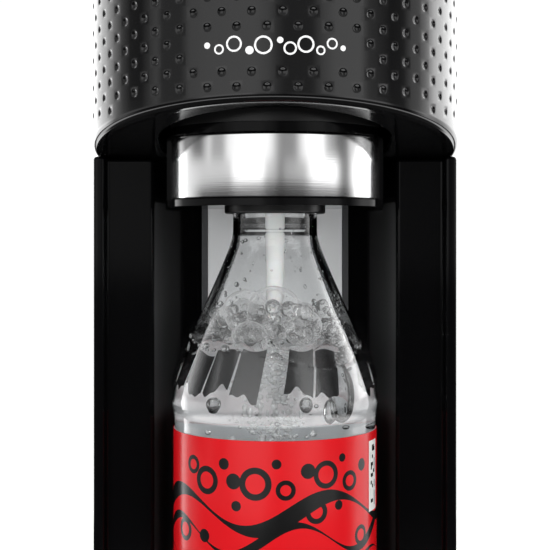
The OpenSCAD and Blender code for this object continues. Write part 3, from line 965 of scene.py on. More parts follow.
def soften(node: str, width: float, segments: int = 3, corner_deg: float = 32.0,
           sharp_deg: float = 28.0) -> bpy.types.Object:
    """Copies a CAD node's shape into a new piece and rounds its edges.

    Args:
        node: name of the CAD node.
        width: how far from an edge its round starts.
        segments: steps across the round.
        corner_deg: edges that turn by more than this are rounded.
        sharp_deg: edges of the result that turn by more than this stay sharp.

    Returns:
        The new piece, in place of nothing yet.
    """
    bm = bmesh.new()
    bm.from_mesh(frame["nodes"][node].data)
    bmesh.ops.remove_doubles(bm, verts=bm.verts, dist=2e-6)
    bmesh.ops.dissolve_limit(
        bm, angle_limit=math.radians(0.5), verts=bm.verts, edges=bm.edges, delimit=set()
    )
    plain = bpy.data.meshes.new(node + "_plain")
    bm.verts.index_update()
    plain.from_pydata([v.co[:] for v in bm.verts], [],
                      [[v.index for v in f.verts] for f in bm.faces])
    bm.free()
    rough = bpy.data.objects.new(node + "_rough", plain)
    bpy.context.scene.collection.objects.link(rough)
    bevel = rough.modifiers.new("soft_edges", "BEVEL")
    bevel.width = width
    bevel.segments = segments
    bevel.limit_method = "ANGLE"
    bevel.angle_limit = math.radians(corner_deg)
    bevel.miter_outer = "MITER_ARC"
    graph = bpy.context.evaluated_depsgraph_get()
    mesh = bpy.data.meshes.new_from_object(rough.evaluated_get(graph))
    mesh.name = node + "_softened"
    bpy.data.objects.remove(rough)
    obj = object_of(node + "_soft", mesh, sharp_deg)
    even = obj.modifiers.new("even_normals", "WEIGHTED_NORMAL")
    even.mode = "FACE_AREA"
    even.weight = 80
    even.keep_sharp = True
    return obj


def tube_along(name: str, path: Sequence[Vector], radius: float, sides: int = 16
               ) -> bpy.types.Object:
    """Sweeps a round section along a path, and closes its ends.

    Args:
        name: name of the piece.
        path: points of the centreline.
        radius: radius of the section.
        sides: points round the section.

    Returns:
        The new piece.
    """
    draft = MeshDraft()
    rows: list[list[int]] = []
    up = Vector((1, 0, 0)) if abs((path[1] - path[0]).normalized().x) < 0.9 else Vector((0, 1, 0))
    for i, here in enumerate(path):
        ahead = (path[min(i + 1, len(path) - 1)] - path[max(i - 1, 0)]).normalized()
        side = ahead.cross(up).normalized()
        up = side.cross(ahead).normalized()
        row = []
        for k in range(sides):
            a = 2 * math.pi * k / sides
            row.append(draft.point(here + (side * math.cos(a) + up * math.sin(a)) * radius))
        rows.append(row + [row[0]])
    for a_row, b_row in zip(rows, rows[1:]):
        draft.strip(a_row, b_row)
    draft.face(rows[0][:-1])
    draft.face(reversed(rows[-1][:-1]))
    return draft.build(name, 50.0)


def place(obj: bpy.types.Object, finish: Finish, body: str, slot: str,
          nodes: Sequence[str] = ()) -> bpy.types.Object:
    """Gives a finished piece its material and body, and reports it.

    Args:
        obj: the piece.
        finish: its finish.
        body: the CAD body that it moves with.
        slot: the record's material slot, which is not used.
        nodes: CAD nodes that it stands for.

    Returns:
        The same piece.
    """
    obj.data.materials.clear()
    obj.data.materials.append(material_of(finish))
    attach(obj, body)
    for node in nodes:
        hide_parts(node)
    LOG.info("%s: %d faces, rides on %s", obj.name, len(obj.data.polygons), body)
    return obj


def soften_node(node: str, width: float, body: str, segments: int = 3,
                finish: Finish | None = None) -> bpy.types.Object:
    """Replaces a CAD node by its own shape with rounded edges, in its slot's finish.

    Args:
        node: the CAD node.
        width: how far the edges are rounded, in metres.
        body: the moving body that it rides on.
        segments: facets across each rounded edge.
        finish: a finish to use in place of the slot's own.

    Returns:
        The new object.
    """
    slot = NODE_SLOT[node]
    obj = soften(node, width, segments)
    return place(obj, finish or SLOT_FINISH[slot], body, slot, [node])


# ---- The machine ----


@dataclass(frozen=True)
class BodyPlan:
    """The D-shaped outline of the body, measured along its outer edge from the nose."""

    half_w: float
    nose_y: float
    lip_z: float = 0.2936
    slope: float = 0.2

    def at(self, along: float, inset: float) -> Point2:
        """Point of the outline, drawn in by inset, at a distance along the outer edge.

        Args:
            along: distance from the middle of the front, less than zero to the left.
            inset: how far the point is drawn in.

        Returns:
            The x and y of the point.
        """
        quarter = math.pi / 2 * self.half_w
        side = 1 if along >= 0 else -1
        s = abs(along)
        if s <= quarter:
            a = s / self.half_w
            r = self.half_w - inset
            return side * r * math.sin(a), self.nose_y - r * math.cos(a)
        return side * (self.half_w - inset), self.nose_y + s - quarter

    def lip_at(self, y: float) -> float:
        """Height of the slanted lip at a given depth."""
        return self.lip_z + self.slope * (self.nose_y - y)


LOW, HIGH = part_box("head_shell")
PLAN = BodyPlan(half_w=HIGH.x, nose_y=LOW.y + HIGH.x)


@dataclass
class HeadShell:
    """The dimpled front shell of the head with its thick rolled lip."""

    seam_y: float = HIGH.y
    top_z: float = HIGH.z
    wall: float = 2.8 * MM
    lip_h: float = 2.6 * MM
    lip_roll: float = 2.0 * MM
    lip_in: float = 5.6 * MM
    columns: int = 74
    row_h: float = 4.7 * MM
    first_row: float = 1.6 * MM
    dimple_r: float = 1.38 * MM
    dimple_depth: float = 0.52 * MM
    plain_half: float = 29 * MM
    plain_z: Point2 = (0.3175, 0.3295)

    def skin_floor(self, along: float) -> float:
        """Height where the dimpled skin ends and the lip begins."""
        return PLAN.lip_at(PLAN.at(along, 0)[1]) + self.lip_h

    def on_skin(self, draft: MeshDraft, along: float, z: float, inset: float = 0.0) -> int:
        """Adds a point of the skin, kept above the lip."""
        x, y = PLAN.at(along, inset)
        return draft.point((x, y, min(self.top_z, max(z, self.skin_floor(along)))))

    def cell(self, draft: MeshDraft, a: float, z: float, width: float, dimpled: bool) -> None:
        """Adds one cell of the skin.

        Args:
            draft: the mesh that gets it.
            a: where it starts along the outline.
            z: height of its lower edge.
            width: its width.
            dimpled: whether it has a dimple.
        """
        h = self.row_h
        if not dimpled:
            rows = [[self.on_skin(draft, a + width * i / 4, z + h * j / 4) for i in range(5)]
                    for j in range(5)]
            for low, high in zip(rows, rows[1:]):
                draft.strip(low, high)
            return
        edge = [(i / 4, 0.0) for i in range(4)] + [(1.0, i / 4) for i in range(4)]
        edge += [(1 - i / 4, 1.0) for i in range(4)] + [(0.0, 1 - i / 4) for i in range(4)]
        ring = [self.on_skin(draft, a + width * u, z + h * v) for u, v in edge]
        turns = [math.atan2((v - 0.5) * h, (u - 0.5) * width) for u, v in edge]
        for share, deep in ((1.16, 0.0), (1.0, 0.06), (0.78, 0.42), (0.42, 0.84)):
            r = self.dimple_r * share
            inner = [self.on_skin(draft, a + width / 2 + r * math.cos(t),
                                  z + h / 2 + r * math.sin(t), self.dimple_depth * deep)
                     for t in turns]
            draft.strip(ring + ring[:1], inner + inner[:1])
            ring = inner
        centre = self.on_skin(draft, a + width / 2, z + h / 2, self.dimple_depth)
        for i, start in enumerate(ring):
            draft.face((start, ring[(i + 1) % len(ring)], centre))

    def build(self) -> None:
        """Shapes and places the shell and its emblem."""
        draft = MeshDraft()
        end = math.pi / 2 * PLAN.half_w + self.seam_y - PLAN.nose_y
        width = 2 * end / self.columns
        bottom = PLAN.lip_at(self.seam_y)
        rows = math.ceil((self.top_z - bottom) / self.row_h)
        for i in range(self.columns):
            a = -end + i * width
            floor = max(self.skin_floor(a + width * k / 4) for k in range(5))
            for j in range(-1, rows):
                z = self.top_z - self.first_row - (j + 1) * self.row_h
                mid, up = a + width / 2, z + self.row_h / 2
                plain = abs(mid) < self.plain_half and self.plain_z[0] < up < self.plain_z[1]
                if z + self.row_h > floor - self.row_h:
                    clear = z + 0.8 * MM > floor and up + self.row_h < self.top_z
                    self.cell(draft, a, z, width, (i + j) % 2 == 1 and clear and not plain)
        self.add_lip(draft, end, width)
        place(draft.build("dimpled_head_shell", 50.0), Finish.DIMPLED_BLACK, "machine_body",
              "dimpled_black", ["head_shell"])
        self.emblem()

    def add_lip(self, draft: MeshDraft, end: float, width: float) -> None:
        """Adds the rolled lip, the inside wall, the top rim and the two seam faces.

        Args:
            draft: the mesh that gets them.
            end: distance along the edge at which the shell stops.
            width: width of one column of cells.
        """
        roll = fillet([(0, self.lip_h, 0), (0, 0, self.lip_roll), (self.lip_in, 0, 1.4 * MM),
                       (self.lip_in, 3.4 * MM, 0.8 * MM), (self.wall, 4.6 * MM, 0)], 7)
        count = self.columns * 4
        columns: list[list[int]] = []
        for k in range(count + 1):
            along = -end + k * width / 4
            column = []
            for inset, lift in roll:
                x, y = PLAN.at(along, inset)
                column.append(draft.point((x, y, PLAN.lip_at(y) + lift)))
            x, y = PLAN.at(along, self.wall)
            column.append(draft.point((x, y, self.top_z)))
            x, y = PLAN.at(along, 0)
            column.append(draft.point((x, y, self.top_z)))
            columns.append(column)
        for a_col, b_col in zip(columns, columns[1:]):
            draft.strip(a_col, b_col)
        for column, along in ((columns[0], -end), (columns[-1], end)):
            levels = [self.on_skin(draft, along,
                                   self.top_z - self.first_row - (k - 4) * self.row_h / 4)
                      for k in range(1, 140)]
            draft.face([*column[:-1], column[-1], *dict.fromkeys(levels)])

    def emblem(self) -> None:
        """A line of printed bubbles on the plain patch, in place of any name."""
        draft = MeshDraft()
        z = (self.plain_z[0] + self.plain_z[1]) / 2
        dots = [(-21.5, 0.4, 1.0, 0), (-17.6, -0.9, 1.6, 1.05), (-12.8, 0.7, 2.5, 1.9),
                (-7.9, -1.4, 1.3, 0), (-3.6, 0.2, 2.9, 2.25), (1.6, 1.7, 1.0, 0),
                (4.7, -0.8, 2.1, 1.5), (9.6, 0.5, 2.7, 2.05), (14.3, -1.3, 1.5, 0.95),
                (18.0, 0.9, 1.8, 1.25), (21.6, -0.4, 0.9, 0)]
        for across, up, outer, hollow in dots:
            rings = [[], []]
            for k in range(36):
                a = 2 * math.pi * k / 36
                for ring, r in zip(rings, (outer, hollow)):
                    x, y = PLAN.at((across + r * math.cos(a)) * MM, -0.03 * MM)
                    ring.append(draft.point((x, y, z + (up + r * math.sin(a)) * MM)))
            draft.strip(rings[0] + rings[0][:1], rings[1] + rings[1][:1])
        place(draft.build("bubble_emblem"), Finish.PRINT_WHITE, "machine_body", "white_plastic")


@dataclass
class HeadTop:
    """Top cover, trim ring, the round button and the parts it presses."""

    dome_r: float = 208 * MM
    skin: float = 2.3 * MM

    def build(self) -> None:
        """Shapes and places the pieces on top of the head."""
        soften_node("top_cover", 1.1 * MM, "machine_body", 4)
        soften_node("button_trim_ring", 0.5 * MM, "machine_body", 3)
        soften_node("head_underside", 0.6 * MM, "machine_body", 2, Finish.COLUMN_BLACK)
        soften_node("button_guide", 0.3 * MM, "machine_body", 2)
        low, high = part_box("carbonation_button")
        radius, top = high.x, high.z
        shoulder = top - (self.dome_r - math.sqrt(self.dome_r**2 - radius**2))
        centre = (0.0, (low.y + high.y) / 2)
        upper = [(r, top - (self.dome_r - math.sqrt(self.dome_r**2 - r * r)))
                 for r in [radius * k / 14 for k in range(13)]]
        under = [(r, h - self.skin) for r, h in upper]
        edge = fillet([(*upper[-1], 0), (radius, shoulder, 3 * MM), (radius, low.z, 0.5 * MM),
                       (radius - self.skin, low.z, 0.5 * MM),
                       (radius - self.skin, shoulder - self.skin, 2 * MM), (*under[-1], 0)], 6)
        place(lathe("pressed_button", upper[:-1] + edge + under[:-1][::-1], centre, 144,
                    closed=False), Finish.GLOSS_BLACK, "button", "gloss_black",
              ["carbonation_button"])
        grip = fillet([(17 * MM, top - 1.4 * MM, 0), (19 * MM, top - 0.62 * MM, 0.2 * MM),
                       (20.4 * MM, top - 1.7 * MM, 0)], 3)
        place(lathe("button_grip_ring", grip, centre, 96), Finish.CHROME, "button", "chrome")
        spring = coil("button_coil", Vector((centre[0], centre[1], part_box("button_spring")[0].z)),
                      Vector((0, 0, 1)), 11.4 * MM, 0.8 * MM, 21.2 * MM, 5)
        place(spring, Finish.SPRING_STEEL, "machine_body", "steel_plain", ["button_spring"])
        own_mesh(spring)


def coil(name: str, foot: Vector, along: Vector, radius: float, wire: float, length: float,
         turns: int) -> bpy.types.Object:
    """A coil spring of round wire with closed ends.

    Args:
        name: name of the piece.
        foot: centre of its first end.
        along: direction of its axis.
        radius: radius of the wire's centreline.
        wire: radius of the wire.
        length: overall length.
        turns: number of turns.

    Returns:
        The new piece.
    """
    side = along.orthogonal().normalized()
    other = along.cross(side)
    path = []
    count = turns * 28
    for k in range(count + 1):
        t = k / count
        a = 2 * math.pi * turns * t
        rise = wire + (length - 2 * wire) * min(1.0, max(0.0, (t - 0.06) / 0.88))
        path.append(foot + along * rise + (side * math.cos(a) + other * math.sin(a)) * radius)
    return tube_along(name, path, wire, 10)


@dataclass
class Column:
    """The glossy column with its curved bottle channel and light grey insert."""

    rim: float = 1.3 * MM

    def build(self) -> None:
        """Shapes and places the column."""
        soften_node("front_housing", self.rim, "machine_body", 4, Finish.COLUMN_BLACK)
        soften_node("column_insert", 0.25 * MM, "machine_body", 2)
        soften_node("insert_trim", 0.35 * MM, "machine_body", 2)


@dataclass
class Base:
    """Base housing, feet, drip tray and grille."""

    edge: float = 1.6 * MM

    def build(self) -> None:
        """Shapes and places the base."""
        soften_node("base_housing", self.edge, "machine_body", 4)
        soften_node("base_plate", 0.4 * MM, "machine_body", 2)
        soften_node("rubber_feet", 0.6 * MM, "machine_body", 3)
        soften_node("drip_tray", 0.7 * MM, "drip_tray", 3)
        soften_node("drip_grille", 0.5 * MM, "grille", 3)


@dataclass
class Holder:
    """The tilting bottle holder with its steel band, collar, nozzle and latch jaws."""

    axis: Point2 = (0.0, BOTTLE_Y)

    def build(self) -> None:
        """Shapes and places the holder."""
        soften_node("holder_housing", 1.2 * MM, "holder", 4, Finish.COLUMN_BLACK)
        soften_node("holder_cap", 0.8 * MM, "holder", 3)
        soften_node("nozzle_block", 0.7 * MM, "holder", 3)
        soften_node("latch_jaw_left", 0.3 * MM, "jaw_left", 2)
        soften_node("latch_jaw_right", 0.3 * MM, "jaw_right", 2)
        low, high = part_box("steel_band")
        outer = high.x
        band = fillet([(outer - 1.2 * MM, low.z, 0), (outer, low.z, 0.7 * MM),
                       (outer, high.z, 0.7 * MM), (outer - 1.2 * MM, high.z, 0)], 5)
        place(lathe("polished_band", band, self.axis, 144, (179.5, 360.5)), Finish.BAND_STEEL,
              "holder", "steel_brushed", ["steel_band"])
        low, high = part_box("neck_collar")
        ring = fillet([(16.7 * MM, high.z, 0), (16.7 * MM, low.z, 0.4 * MM),
                       (high.x, low.z, 0.8 * MM), (high.x, high.z, 0)], 4)
        place(lathe("rounded_neck_collar", ring, self.axis, 96), Finish.SATIN_BLACK, "holder",
              "satin_black", ["neck_collar"])


def spline(knots: Sequence[Point2], steps: int) -> list[Point2]:
    """A smooth line through the knots.

    Args:
        knots: points to pass through.
        steps: points between two knots.

    Returns:
        The denser line.
    """
    pts = [knots[0], *knots, knots[-1]]
    out: list[Point2] = []
    for i in range(1, len(pts) - 2):
        p0, p1, p2, p3 = (Vector(p) for p in pts[i - 1:i + 3])
        for k in range(steps):
            t = k / steps
            v = 0.5 * ((2 * p1) + (p2 - p0) * t + (2 * p0 - 5 * p1 + 4 * p2 - p3) * t * t
                       + (3 * p1 - p0 - 3 * p2 + p3) * t**3)
            out.append((v.x, v.y))
    out.append(tuple(knots[-1]))
    return out


@dataclass
class Bottle:
    """The clear bottle, its label and the water, froth and bubbles inside."""

    axis: Point2 = (0.0, BOTTLE_Y)
    wall: float = 0.9
    foot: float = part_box("bottle_shell")[0].z / MM
    top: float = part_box("bottle_shell")[1].z / MM
    water_z: float = 227.0
    lean: float = 0.1
    flute_depth: float = 0.06
    flute_ends: Point2 = (224.0, 263.0)
    fold_depth: float = 2.2
    fold_swell: float = 1.1
    fold_lean: float = 0.09
    froth_z: float = 229.5
    froth_h: float = 11.0
    seed: int = 11

    def shoulder(self) -> list[Point2]:
        """Outer radius and height in millimetres, from above the label up to the neck.

        Returns:
            The points, lowest first.
        """
        return spline([(35.15, 200), (35.4, 203), (35.85, 205.6), (36.0, 207.6), (35.5, 211),
                       (33.9, 216.6), (31.4, 224.3), (29.7, 229), (27, 235.5), (24.7, 240.4),
                       (22.2, 246), (19.7, 251.7), (17.4, 257.3), (15.8, 261.6), (14.95, 265),
                       (14.8, 269), (14.8, 272.4), (14.4, 276)], 4)

    def outer(self) -> list[Point2]:
        """The whole outside, from the middle of the foot to the rim of the neck.

        Returns:
            The points, lowest first.
        """
        f = self.foot
        low = spline([(0.02, f + 5), (8, f + 4), (16, f + 1.4), (22, f + 0.1), (27, f),
                      (31, f + 1.2), (33.6, f + 3.8), (35, f + 8), (35.4, f + 14)], 4)
        neck = [(16.38, 284.2), (16.4, 284.6), (16.4, 285.8), (16.1, 286.1), (13.2, 286.9)]
        for z in (289, 292.4, 295.8):
            neck += [(13, z - 0.5), (13.8, z + 0.2), (13.8, z + 1.0), (13, z + 1.8)]
        neck += [(13, self.top - 0.5), (12.7, self.top)]
        return low + [(35.4, 94), (35.15, 95.2)] + self.shoulder() + neck

    def inner(self) -> list[Point2]:
        """The whole inside, from the middle of the foot to the rim of the neck.

        Returns:
            The points, lowest first.
        """
        f, w = self.foot, self.wall
        low = spline([(0.02, f + 6.4), (8, f + 5.4), (16, f + 3), (22, f + 1.9), (27, f + 1.9),
                      (30.6, f + 2.8), (33, f + 5), (34.2, f + 9), (34.5, f + 15)], 4)
        side = [(34.25, 95), (34.25, 200)]
        upper = [(r - w - 1.3 * max(0.0, (z - 236) / 26), z - 0.4)
                 for r, z in self.shoulder() if 201 < z < 262]
        neck = [(13.1, 264.5), (12.9, 265.3), (12.3, 266), (12.6, 266.8), (11.9, 267.6),
                (12.1, 268.6), (11.5, 269.4), (11.7, 272), (11.7, self.top - 0.4),
                (12.0, self.top)]
        return low + side + upper + neck

    def radius_inside(self, z: float) -> float:
        """Inner radius in millimetres at a height.

        Args:
            z: the height in millimetres.

        Returns:
            The radius.
        """
        line = self.inner()
        for (r0, z0), (r1, z1) in zip(line, line[1:]):
            if z0 <= z <= z1:
                return r0 + (r1 - r0) * (z - z0) / max(z1 - z0, 1e-6)
        return line[-1][0]

    def build(self) -> None:
        """Shapes and places the bottle and what is in it."""
        line = self.outer() + self.inner()[::-1]
        shell = lathe("clear_bottle", [(r * MM, z * MM) for r, z in line], self.axis, 192,
                      closed=False, sharp_deg=60)
        self.flute(shell)
        place(shell, Finish.CLEAR_PET, "bottle", "clear_pet", ["bottle_shell"])
        low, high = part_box("bottle_label")
        outer = high.x
        sleeve = fillet([(outer - 0.2 * MM, low.z, 0), (outer, low.z, 0.08 * MM),
                         (outer, high.z, 0.08 * MM), (outer - 0.2 * MM, high.z, 0)], 2)
        place(lathe("printed_sleeve", sleeve, self.axis, 144), Finish.LABEL, "bottle",
              "label_red", ["bottle_label"])
        lining = [(r * MM, z) for z in (low.z + 0.1 * MM, high.z - 0.1 * MM)
                  for r in (35.2, 35.32)]
        place(lathe("sleeve_lining", [lining[0], lining[1], lining[3], lining[2]], self.axis,
                    144), Finish.LABEL_BACK, "bottle", "label_red")
        self.water()
        rng = random.Random(self.seed)
        self.froth(rng)
        self.jet(rng)
        self.pockets(rng)
        self.shade_sheets()
        self.drops(rng)
        self.films()

    def flute(self, shell: bpy.types.Object) -> None:
        """Gives the inside of the shoulder the long shallow flutes of a blown bottle.

        Args:
            shell: the bottle, which is changed in place.
        """
        middle = Vector((self.axis[0], self.axis[1], 0))
        start, end = self.flute_ends
        for vertex in shell.data.vertices:
            out = Vector((vertex.co.x, vertex.co.y, 0)) - middle
            z = vertex.co.z / MM
            if start < z < end and abs(out.length / MM - self.radius_inside(z)) < 0.35:
                a = math.atan2(out.y, out.x)
                window = math.sin(math.pi * (z - start) / (end - start)) ** 0.7
                wave = math.sin(13 * a + 0.4) + 0.5 * math.sin(5 * a + 1.3)
                out *= 1 - self.flute_depth * MM * window * (1 + wave) / out.length
                vertex.co.x, vertex.co.y = middle.x + out.x, middle.y + out.y

    def surface(self, r: float, a: float) -> float:
        """Height of the stirred water surface at a radius and angle, in millimetres.

        Args:
            r: distance from the axis in millimetres.
            a: angle in radians.

        Returns:
            The height.
        """
        swell = 1.6 * math.sin(2 * a + 0.7) + 1.2 * math.sin(3 * a - 0.19 * r)
        chop = 0.8 * math.sin(0.55 * r + 5 * a) + 0.5 * math.sin(0.8 * r - 7 * a + 1.0)
        boil = 6.0 * math.exp(-((r - 5.5) / 4.5) ** 2) * (1 + 0.3 * math.sin(4 * a))
        lean = self.lean * r * math.sin(a) - 0.05 * r * math.cos(a)
        return self.water_z + (swell + chop) * min(1.0, r / 8) + boil + lean

    def water(self) -> None:
        """The water, a little larger than the inside of the bottle so that they bond."""
        draft = MeshDraft()
        around, rings = 120, 26
        side = [(r + 0.12, z) for r, z in self.inner() if z < self.water_z - 12]
        reach = self.radius_inside(self.water_z) + 0.12
        rows = []
        for k in range(around):
            a = 2 * math.pi * k / around
            level = self.surface(reach, a)
            column = list(side)
            for step in range(1, 5):
                z = side[-1][1] + (level - side[-1][1]) * step / 4
                column.append((self.radius_inside(z) + 0.12, z))
            rim = column[-1][0]
            for step in range(1, rings):
                r = rim * (1 - step / rings)
                column.append((r, self.surface(r, a)))
            rows.append([self.spot(draft, r, a, z) for r, z in column])
        rows.append(rows[0])
        for a_row, b_row in zip(rows, rows[1:]):
            draft.strip(a_row, b_row)
        crown = self.spot(draft, 0, 0, self.surface(0, 0))
        for a_row, b_row in zip(rows, rows[1:]):
            draft.face((a_row[-1], b_row[-1], crown))
        place(draft.build("water", 80), Finish.WATER, "bottle", "clear_pet")

    def spot(self, draft: MeshDraft, r: float, a: float, z: float) -> int:
        """Adds a point given in millimetres about the bottle axis."""
        return draft.point((self.axis[0] + r * MM * math.cos(a),
                            self.axis[1] + r * MM * math.sin(a), z * MM))

    def ball(self, draft: MeshDraft, centre: Point3, r: float, squash: float = 1.0,
             sides: int = 12) -> None:
        """Adds a closed round bubble.

        Args:
            draft: the mesh that gets it.
            centre: (radius from the axis, angle, height) in millimetres and radians.
            r: radius in millimetres.
            squash: height over width.
            sides: points round it.
        """
        cx = self.axis[0] / MM + centre[0] * math.cos(centre[1])
        cy = self.axis[1] / MM + centre[0] * math.sin(centre[1])
        half = sides // 2
        rows = []
        for j in range(half + 1):
            t = math.pi * j / half
            row = []
            for k in range(sides):
                p = 2 * math.pi * k / sides
                row.append(draft.point((
                    (cx + r * math.sin(t) * math.cos(p)) * MM,
                    (cy + r * math.sin(t) * math.sin(p)) * MM,
                    (centre[2] + r * squash * math.cos(t)) * MM)))
            rows.append(row + [row[0]])
        for a_row, b_row in zip(rows, rows[1:]):
            draft.strip(a_row, b_row)

    def froth(self, rng: random.Random) -> None:
        """Bubbles that crowd on the surface, most of them along the wall.

        Args:
            rng: source of the seeded draws.
        """
        draft = MeshDraft()
        for _ in range(420):
            r = 0.45 + 2.5 * rng.random() ** 3.0
            a = rng.uniform(-math.pi, math.pi)
            reach = self.radius_inside(self.froth_z + 6) - r - 0.4
            far = reach * (1 - 0.8 * rng.random() ** 2.2)
            z = self.froth_z + self.froth_h * rng.random() ** 1.5 + 1.2 * math.sin(3 * a)
            far = min(far, self.radius_inside(z + r) - r - 0.3)
            self.ball(draft, (far, a, z), r, 0.95, 14 if r > 1.2 else 10)
        for _ in range(110):
            r = 0.4 + 1.3 * rng.random() ** 2.0
            a = rng.uniform(-math.pi, math.pi)
            far = self.radius_inside(self.water_z - 4) - r - 0.6
            self.ball(draft, (far, a, self.surface(far, a) + 0.3 * r), r, 0.95, 12)
        place(draft.build("froth_on_water", 80), Finish.FROTH, "bottle", "clear_pet")

    def jet(self, rng: random.Random) -> None:
        """Fine bubbles that stream from the tube and spread in the water.

        Args:
            rng: source of the seeded draws.
        """
        draft = MeshDraft()
        for _ in range(420):
            t = rng.random() ** 0.8
            r = rng.uniform(0.28, 0.75) + 0.5 * rng.random() ** 4
            far = abs(rng.gauss(0, 2.0 + 5.0 * t))
            far = min(far, 26.0)
            z = 238 - 46 * t
            self.ball(draft, (far, rng.uniform(-math.pi, math.pi), z), r, 1.0, 8)
        place(draft.build("gas_stream", 80), Finish.FINE_GAS, "bottle", "clear_pet")

    def pockets(self, rng: random.Random) -> None:
        """Large gas pockets that roll in the water near the front wall.

        Args:
            rng: source of the seeded draws.
        """
        draft = MeshDraft()
        for turn, z, r, tall in (
            (-0.72, 211.5, 4.6, 2.0), (-0.98, 206.5, 2.4, 1.6), (-1.25, 209.0, 2.2, 1.1),
            (-0.62, 222.5, 3.4, 0.8),
        ):
            self.ball(draft, (self.radius_inside(z + r) - r - 1.0, turn, z), r, tall, 32)
        for _ in range(16):
            r = 0.8 + 2.2 * rng.random() ** 2
            a = rng.uniform(-math.pi, math.pi)
            z = self.water_z - 5 - 27 * rng.random()
            far = (self.radius_inside(z) - r - 0.5) * (0.55 + 0.45 * rng.random())
            self.ball(draft, (far, a, z), r, rng.uniform(0.65, 0.95), 18)
        place(draft.build("gas_pockets", 80), Finish.BUBBLE, "bottle", "clear_pet")

    def shade_sheets(self) -> None:
        """Dark tinted folds under the froth that paint in the shade where the stirred water turns
        the light away.
        """
        draft = MeshDraft()
        for start, end, low, high in (
            (-3.05, -2.72, 211.5, 223.0), (-2.69, -2.37, 211.8, 224.5),
            (-2.345, -2.03, 212.8, 226.0), (-2.005, -1.71, 211.2, 227.0),
            (-1.44, -1.14, 212.2, 227.0), (-1.115, -0.83, 212.8, 226.0),
            (-0.5, -0.1, 212.0, 225.0),
        ):
            self.fold(draft, (start, end), (low, high))
        place(draft.build("dark_swirl", 80), Finish.SMOKE, "bottle", "clear_pet")

    def fold(self, draft: MeshDraft, turn: Point2, ends: Point2) -> None:
        """Adds one closed curtain that follows the wall.

        Args:
            draft: the mesh that gets it.
            turn: angles at which it starts and ends, in radians.
            ends: heights of its foot and its top, in millimetres.
        """
        across, up = 36, 10
        rows = []
        for k in range(across + 1):
            share = k / across
            a = turn[0] + (turn[1] - turn[0]) * share
            foot = 1.5 * math.sin(9 * a + 1) + 0.9 * math.sin(23 * a) + 0.5 * math.sin(47 * a)
            low, high = ends[0] + foot, ends[1] + 0.8 * math.sin(11 * a)
            thick = self.fold_swell * math.sin(math.pi * share) ** 0.5 if 0 < k < across else 0.0
            row = []
            for j in range(2 * up):
                t = min(j, 2 * up - j) / up
                z = low + (high - low) * t
                swell = thick * math.sin(math.pi * t) ** 0.5 if 0 < t < 1 else 0.0
                r = self.radius_inside(z) - self.fold_depth + (swell if j < up else -swell)
                row.append(self.spot(draft, r, a + self.fold_lean * (t - 0.5), z))
            rows.append(row + [row[0]])
        for a_row, b_row in zip(rows, rows[1:]):
            draft.strip(a_row, b_row)

    def films(self) -> None:
        """Large thin bubbles that stand on the froth."""
        draft = MeshDraft()
        for far, turn, z, r in ((15.5, -2.35, 238.5, 8.0), (9.0, -1.6, 238.0, 9.6),
                                (17.5, -1.0, 233.5, 6.6), (20.0, -2.0, 230.0, 6.0),
                                (12.0, -1.15, 231.0, 6.2), (18.0, 0.9, 235.0, 6.5),
                                (16.0, 2.4, 236.0, 7.0)):
            reach = self.radius_inside(z + 0.6 * r) - r - 0.2
            self.ball(draft, (min(far, reach), turn, z), r, 1.0, 40)
        place(draft.build("large_bubbles", 80), Finish.FILM, "bottle", "clear_pet")

    def drops(self, rng: random.Random) -> None:
        """Drops that cling to the inside of the neck and shoulder.

        Args:
            rng: source of the seeded draws.
        """
        draft = MeshDraft()
        for _ in range(150):
            z = self.water_z + 8 + 34 * rng.random() ** 1.3
            r = 0.25 + 0.7 * rng.random() ** 2.5
            far = self.radius_inside(z) - 0.25 * r
            self.ball(draft, (far, rng.uniform(-math.pi, math.pi), z), r, 1.1, 8)
        place(draft.build("drops_on_wall", 80), Finish.WATER, "bottle", "clear_pet")


@dataclass
class GasTrain:
    """Gas cylinder, valve, hose and lever train inside the body."""

    hose_r: float = 2.75 * MM
    bend: float = 15 * MM

    def build(self) -> None:
        """Shapes and places the hose and rounds the metal parts."""
        soften_node("rocker_lever", 0.5 * MM, "lever", 2)
        soften_node("valve_block", 0.5 * MM, "machine_body", 2)
        soften_node("chassis", 0.4 * MM, "machine_body", 2)
        soften_node("holder_bracket", 0.4 * MM, "machine_body", 2)
        soften_node("lever_bracket", 0.4 * MM, "machine_body", 2)
        soften_node("cylinder_saddle", 0.5 * MM, "machine_body", 2)
        low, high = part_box("gas_hose")
        start = Vector((0, low.y + self.hose_r, low.z))
        level = high.z - self.hose_r
        corner_y, corner_z = start.y + self.bend, level - self.bend
        path = [start + Vector((0, 0, (corner_z - start.z) * k / 4)) for k in range(5)]
        path += [Vector((0, corner_y - self.bend * math.cos(a), corner_z + self.bend * math.sin(a)))
                 for a in [math.pi / 2 * k / 14 for k in range(1, 15)]]
        path += [Vector((0, corner_y + (high.y - corner_y) * k / 10, level))
                 for k in range(1, 11)]
        hose = tube_along("bent_gas_hose", path, self.hose_r, 20)
        hose.data.materials.append(material_of(Finish.RUBBER))
        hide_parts("gas_hose")
        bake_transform(hose)
        LOG.info("%s bends between holder and machine_body", hose.name)


@dataclass
class RearCover:
    """The cover over the back with its latch."""

    edge: float = 1.2 * MM

    def build(self) -> None:
        """Shapes and places the cover."""
        soften_node("rear_cover", self.edge, "rear_cover", 3, Finish.GLOSS_BLACK)
        soften_node("latch_button", 0.5 * MM, "cover_latch", 3)
        low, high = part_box("latch_spring")
        foot = Vector((0, low.y, (low.z + high.z) / 2))
        spring = coil("latch_coil", foot, Vector((0, 1, 0)), 3 * MM, 0.4 * MM, high.y - low.y, 4)
        place(spring, Finish.SPRING_STEEL, "rear_cover", "steel_plain", ["latch_spring"])
        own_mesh(spring)


